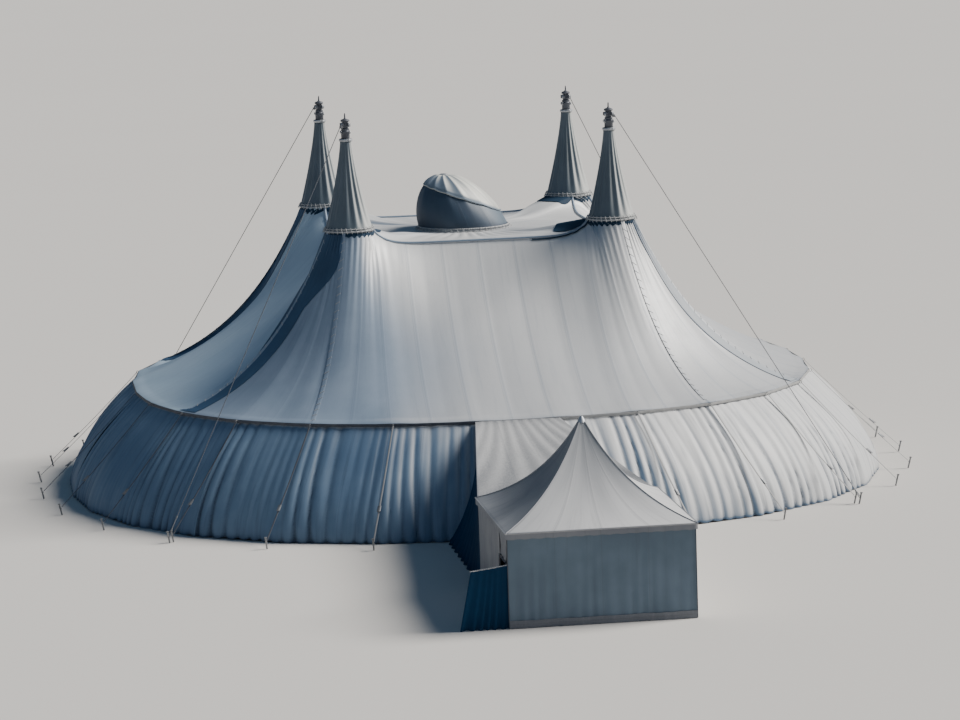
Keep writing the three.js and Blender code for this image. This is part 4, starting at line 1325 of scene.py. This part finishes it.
def makeAnnexeWalls():
    half, front, back = annexe["half"], annexe["front"], annexe["back"]
    face, post, side = front + annexe["frontInset"], front + annexe["postInset"], half - annexe["sideInset"]
    annexeCurtain(
        "annexe_front_curtain", "annexe_front_wall", "slate", "front_curtain",
        start=(-half, face), end=(half, face), seed=90, pleats=15, depth=0.016, inward=(0, 1), columns=150,
    )
    annexeCurtain(
        "annexe_right_curtain", "annexe_right_wall", "annexe", "annexe_membrane",
        start=(side, post), end=(side, back), seed=93, pleats=16, depth=0.04, inward=(-1, 0), columns=130,
    )
    doorBack, doorFront, lintel = annexe["doorBack"], annexe["doorFront"], annexe["doorHeight"]
    panels = (
        (back, doorBack - 0.02, 0.0, 12, 100),
        (doorBack + 0.03, doorFront - 0.03, lintel, 3, 28),
        (doorFront + 0.02, post, 0.0, 1.5, 14),
    )
    curtains = Shape()
    for i, (rear, fore, bottom, pleats, columns) in enumerate(panels):
        grid, wearAndShade = curtainGrid(
            start=(-side, rear), end=(-side, fore), seed=96 + 3 * i, pleats=pleats, depth=0.035,
            inward=(1, 0), columns=columns, bottom=bottom,
        )
        addSkin(curtains, grid, wearAndShade)
    piece = curtains.build("annexe_left_curtain", "annexe", "annexe_membrane")
    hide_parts("annexe_left_wall")
    width, height = (back - front) * modelScale, curtainTop * modelScale
    doorArea = 0.7
    width * height - doorArea


# Webbing round the doorway and up the front corners, and strips of cloth along the ground
def makeAnnexeTrims():
    half, front, lintel = annexe["half"], annexe["front"], annexe["doorHeight"]
    doorBack, doorFront, reach = annexe["doorBack"], annexe["doorFront"], annexe["railReach"]
    trims, skirts = Shape(), Shape()
    x = -half - annexe["doorBandOut"]
    for y in (doorBack, doorFront):
        post = [(x, y, z) for z in (0.02, 1.0, lintel + 0.02)]
        bandAlong(trims, post, (0, 1, 0), *annexe["doorBand"], 0.3)
    rail = [(x, y, lintel) for y in (doorBack + reach, annexe["railMiddle"], doorFront - reach)]
    bandAlong(trims, rail, (0, 0, 1), *annexe["doorBand"], 0.3)
    for side in (-1, 1):
        x, y = side * (half + annexe["cornerBandOut"]), front + annexe["cornerBandInset"]
        post = [(x, y, z) for z in (0.02, 1.4, curtainTop)]
        bandAlong(trims, post, (0, 1, 0), *annexe["cornerBand"], 0.3)
    trims.build("annexe_edge_bands", "webbing", "guy_webbing")
    outer, face = half + annexe["skirtOut"], front - annexe["skirtFace"]
    places, z = annexe["skirtPlaces"], annexe["skirtHeight"]
    sway = annexe["skirtSway"] * ripple(115, np.arange(places)[:, None] * 0.5, np.arange(3)[None, :])
    for begin, end in (
        ((-half, face), (half, face)),
        ((outer, front + annexe["skirtStart"]), (outer, annexe["back"])),
    ):
        path = np.linspace((*begin, z), (*end, z), places) + sway
        bandAlong(skirts, path, (0, 0, 1), *annexe["skirtBand"], 0.5)
    skirts.build("annexe_mud_skirts", "annexe", "annexe_membrane")


flap = {
    "foot": -4.48, "head": -4.1, "outerHeight": 1.85, "innerHeight": 2.0, "pleats": 5.5, "pleat": 0.055,
    "columns": 60, "rows": 34, "railSize": 0.02,
}


def makeFlap():
    u, s = np.linspace(0, 1, flap["columns"])[:, None], np.linspace(0, 1, flap["rows"])[None, :]
    near = -annexe["half"] - 0.002
    x = mix(mix(flap["head"], flap["foot"], s), near, u + 0 * s)
    fold = folded(2 * math.pi * (flap["pleats"] * u + 0.35 * ripple(110, u * 6, s * 1.5)))
    y = annexe["front"] + 0.012 + flap["pleat"] * fold * (0.25 + 0.75 * s)
    z = mix(flap["outerHeight"], flap["innerHeight"], u) * (1 - s) + 0.004 + hemLift(s, fold, 0.03, 0.93)
    # Wear at the hem; the folds' hollows get painted shade.
    wearAndShade = edgeWear(s, 0.5, 0.04) + 0.2 * fold * s
    makeSheet(
        "annexe_door_curtain", np.stack([x, y, z], -1), "blue", "blue_curtain",
        ["annexe_door_flap"], wearAndShade,
    )
    rail = Shape()
    path = [(flap["head"] - 0.02, 1.86), (-3.5, 1.93), (near, 2.01)]
    tubeAlong(rail, [(x, annexe["front"] + 0.03, z) for x, z in path], flap["railSize"], 8)
    rail.build("annexe_door_rail", "rope", "guy_webbing")


makeAnnexeRoof()
makeAnnexeWalls()
makeAnnexeTrims()
makeFlap()
print("stage 8: annexe")


# Link: a roof drawn from the annexe's eave up to the big top's, with a curtain at each side

link = {
    "tailHalf": 1.5, "tailHeight": 3.79, "sag": 0.12, "folds": 7, "fold": 0.035, "flare": 1.8,
    "columns": 70, "rows": 50,
    "curtainRows": 41, "pleats": 11,
}
linkFront = annexe["back"] + annexe["overhang"] + 0.001
linkBack = float(onPole(bayAngle / 2, 0.052, 0)[1])


def linkEdge(side, s):
    x = side * mix(annexe["half"], link["tailHalf"], s)
    z = mix(annexe["height"] - 0.02, link["tailHeight"], s ** 1.2)
    return np.stack(np.broadcast_arrays(x, mix(linkFront, linkBack, s), z), -1)


def makeLinkRoof():
    u, s = shares((0, 1, link["columns"] + 1), (1, 0, link["rows"] + 1))
    grid = mix(linkEdge(-1, s), linkEdge(1, s), u[..., None])
    sag = link["sag"] * 16 * u * (1 - u) * s * (1 - s)
    fold = folded(2 * math.pi * link["folds"] * (u - 0.5) * (0.6 + 0.8 * s) + 1.1 * ripple(120, u * 4, s * 3))
    grid[..., 2] -= sag + link["fold"] * fold * arch(u) ** 0.5 * arch(s) ** 0.6
    # Darker towards the annexe and at both ends; the folds' hollows get painted shade.
    wearAndShade = 0.3 + 0.32 * (1 - s) + edgeWear(s, 0.3, 0.04, 0.25, 0.04) + 0.2 * fold
    makeSheet(
        "link_roof_membrane", grid, "annexe", "annexe_membrane",
        ["link_roof"], wearAndShade,
    )


# How far back a curtain reaches before it meets the wall or the belt
def againstWall(x, z):
    s = 1 - z / (tent["eaveHeight"] - tent["skin"])
    wallFace = onWall(np.arctan2(np.abs(x), 15.0), np.clip(s, 0, 1))
    return np.minimum(wallFace[..., 1] - 0.01, linkBack)


def makeLinkCurtain(name, side, material, slot, seed):
    s, q = shares((0, 1, link["columns"] + 1), (0, 1, link["curtainRows"]))
    tail = mix(link["tailHalf"], annexe["half"], q ** link["flare"])
    fold = folded(2 * math.pi * (link["pleats"] * s + 0.35 * ripple(seed, s * 9, q * 1.5)))
    depth = (0.02 + 0.06 * q) * fold
    x = side * (mix(annexe["half"], tail, s) - 0.004 - depth * (q > 0))
    z = (linkEdge(side, s)[..., 2] - tent["skin"] * 0.6) * (1 - q) + 0.004 + hemLift(q, fold, 0.035, 0.94)
    grid = np.stack([x, mix(linkFront, againstWall(x, z), s), z], -1)
    # Wear at the hem and the head; the folds' hollows get painted shade.
    wearAndShade = edgeWear(q, 0.6, 0.04, 0.2, 0.04) + 0.2 * fold * q
    if side < 0:
        grid, wearAndShade = grid[::-1], wearAndShade[::-1]
    makeSheet(name + "_curtain", grid, material, slot, [name], wearAndShade)


makeLinkRoof()
# The left curtain's dark blue is painted shade.
makeLinkCurtain("link_left_wall", -1, "blue", "blue_curtain", 130)
makeLinkCurtain("link_right_wall", 1, "annexe", "annexe_membrane", 134)
print("stage 9: link")


# Materials of the CAD nodes that stay, and the floor

for name in ["cupola_ring", "annexe_frame"] + ["side_poles_" + side for side in sideNames]:
    node = bpy.data.objects[name]
    node.data.materials.clear()
    node.data.materials.append(materials["galvanised"])


def stageMesh(name, points, faces, material):
    mesh = bpy.data.meshes.new(name)
    mesh.from_pydata(points, [], faces)
    mesh.materials.append(material)
    piece = addObject(name, mesh)
    return piece


def makeFloor():
    shader = Shader("floor")
    cloud = shader.noise(shader.place(), 0.05, 3.0)
    tone, reach = studio["floor"], studio["floorReach"]
    base = shader.blend(cloud.step(0.3, 0.7) * 0.25, tone, tuple(value * 0.96 for value in tone))
    corners = [(-reach, -reach, 0), (reach, -reach, 0), (reach, reach, 0), (-reach, reach, 0)]
    stageMesh("floor", corners, [(0, 1, 2, 3)], shader.finish(Base_Color=base, Roughness=0.9))


# A pale ring far behind the floor, in the tone that the floor has at the horizon. It gives no light.
def makeBackdrop():
    tone = studio["backdrop"]
    material = Shader("backdrop").finish(
        Base_Color=(0.0, 0.0, 0.0), Emission_Color=tone, Emission_Strength=1.0
    )
    sides = studio["backdropSides"]
    ring = roundAbout(studio["backdropRadius"], wholeTurn(sides), 0.0)
    faces = [(i, (i + 1) % sides, (i + 1) % sides + sides, i + sides) for i in range(sides)]
    points = np.concatenate([ring, ring + (0, 0, studio["backdropHeight"])])
    backdrop = stageMesh("backdrop", points, faces, material)
    for ray in ("diffuse", "glossy", "transmission", "volume_scatter", "shadow"):
        setattr(backdrop, "visible_" + ray, False)


makeFloor()
makeBackdrop()
print("stage 10: kept parts, floor and backdrop")
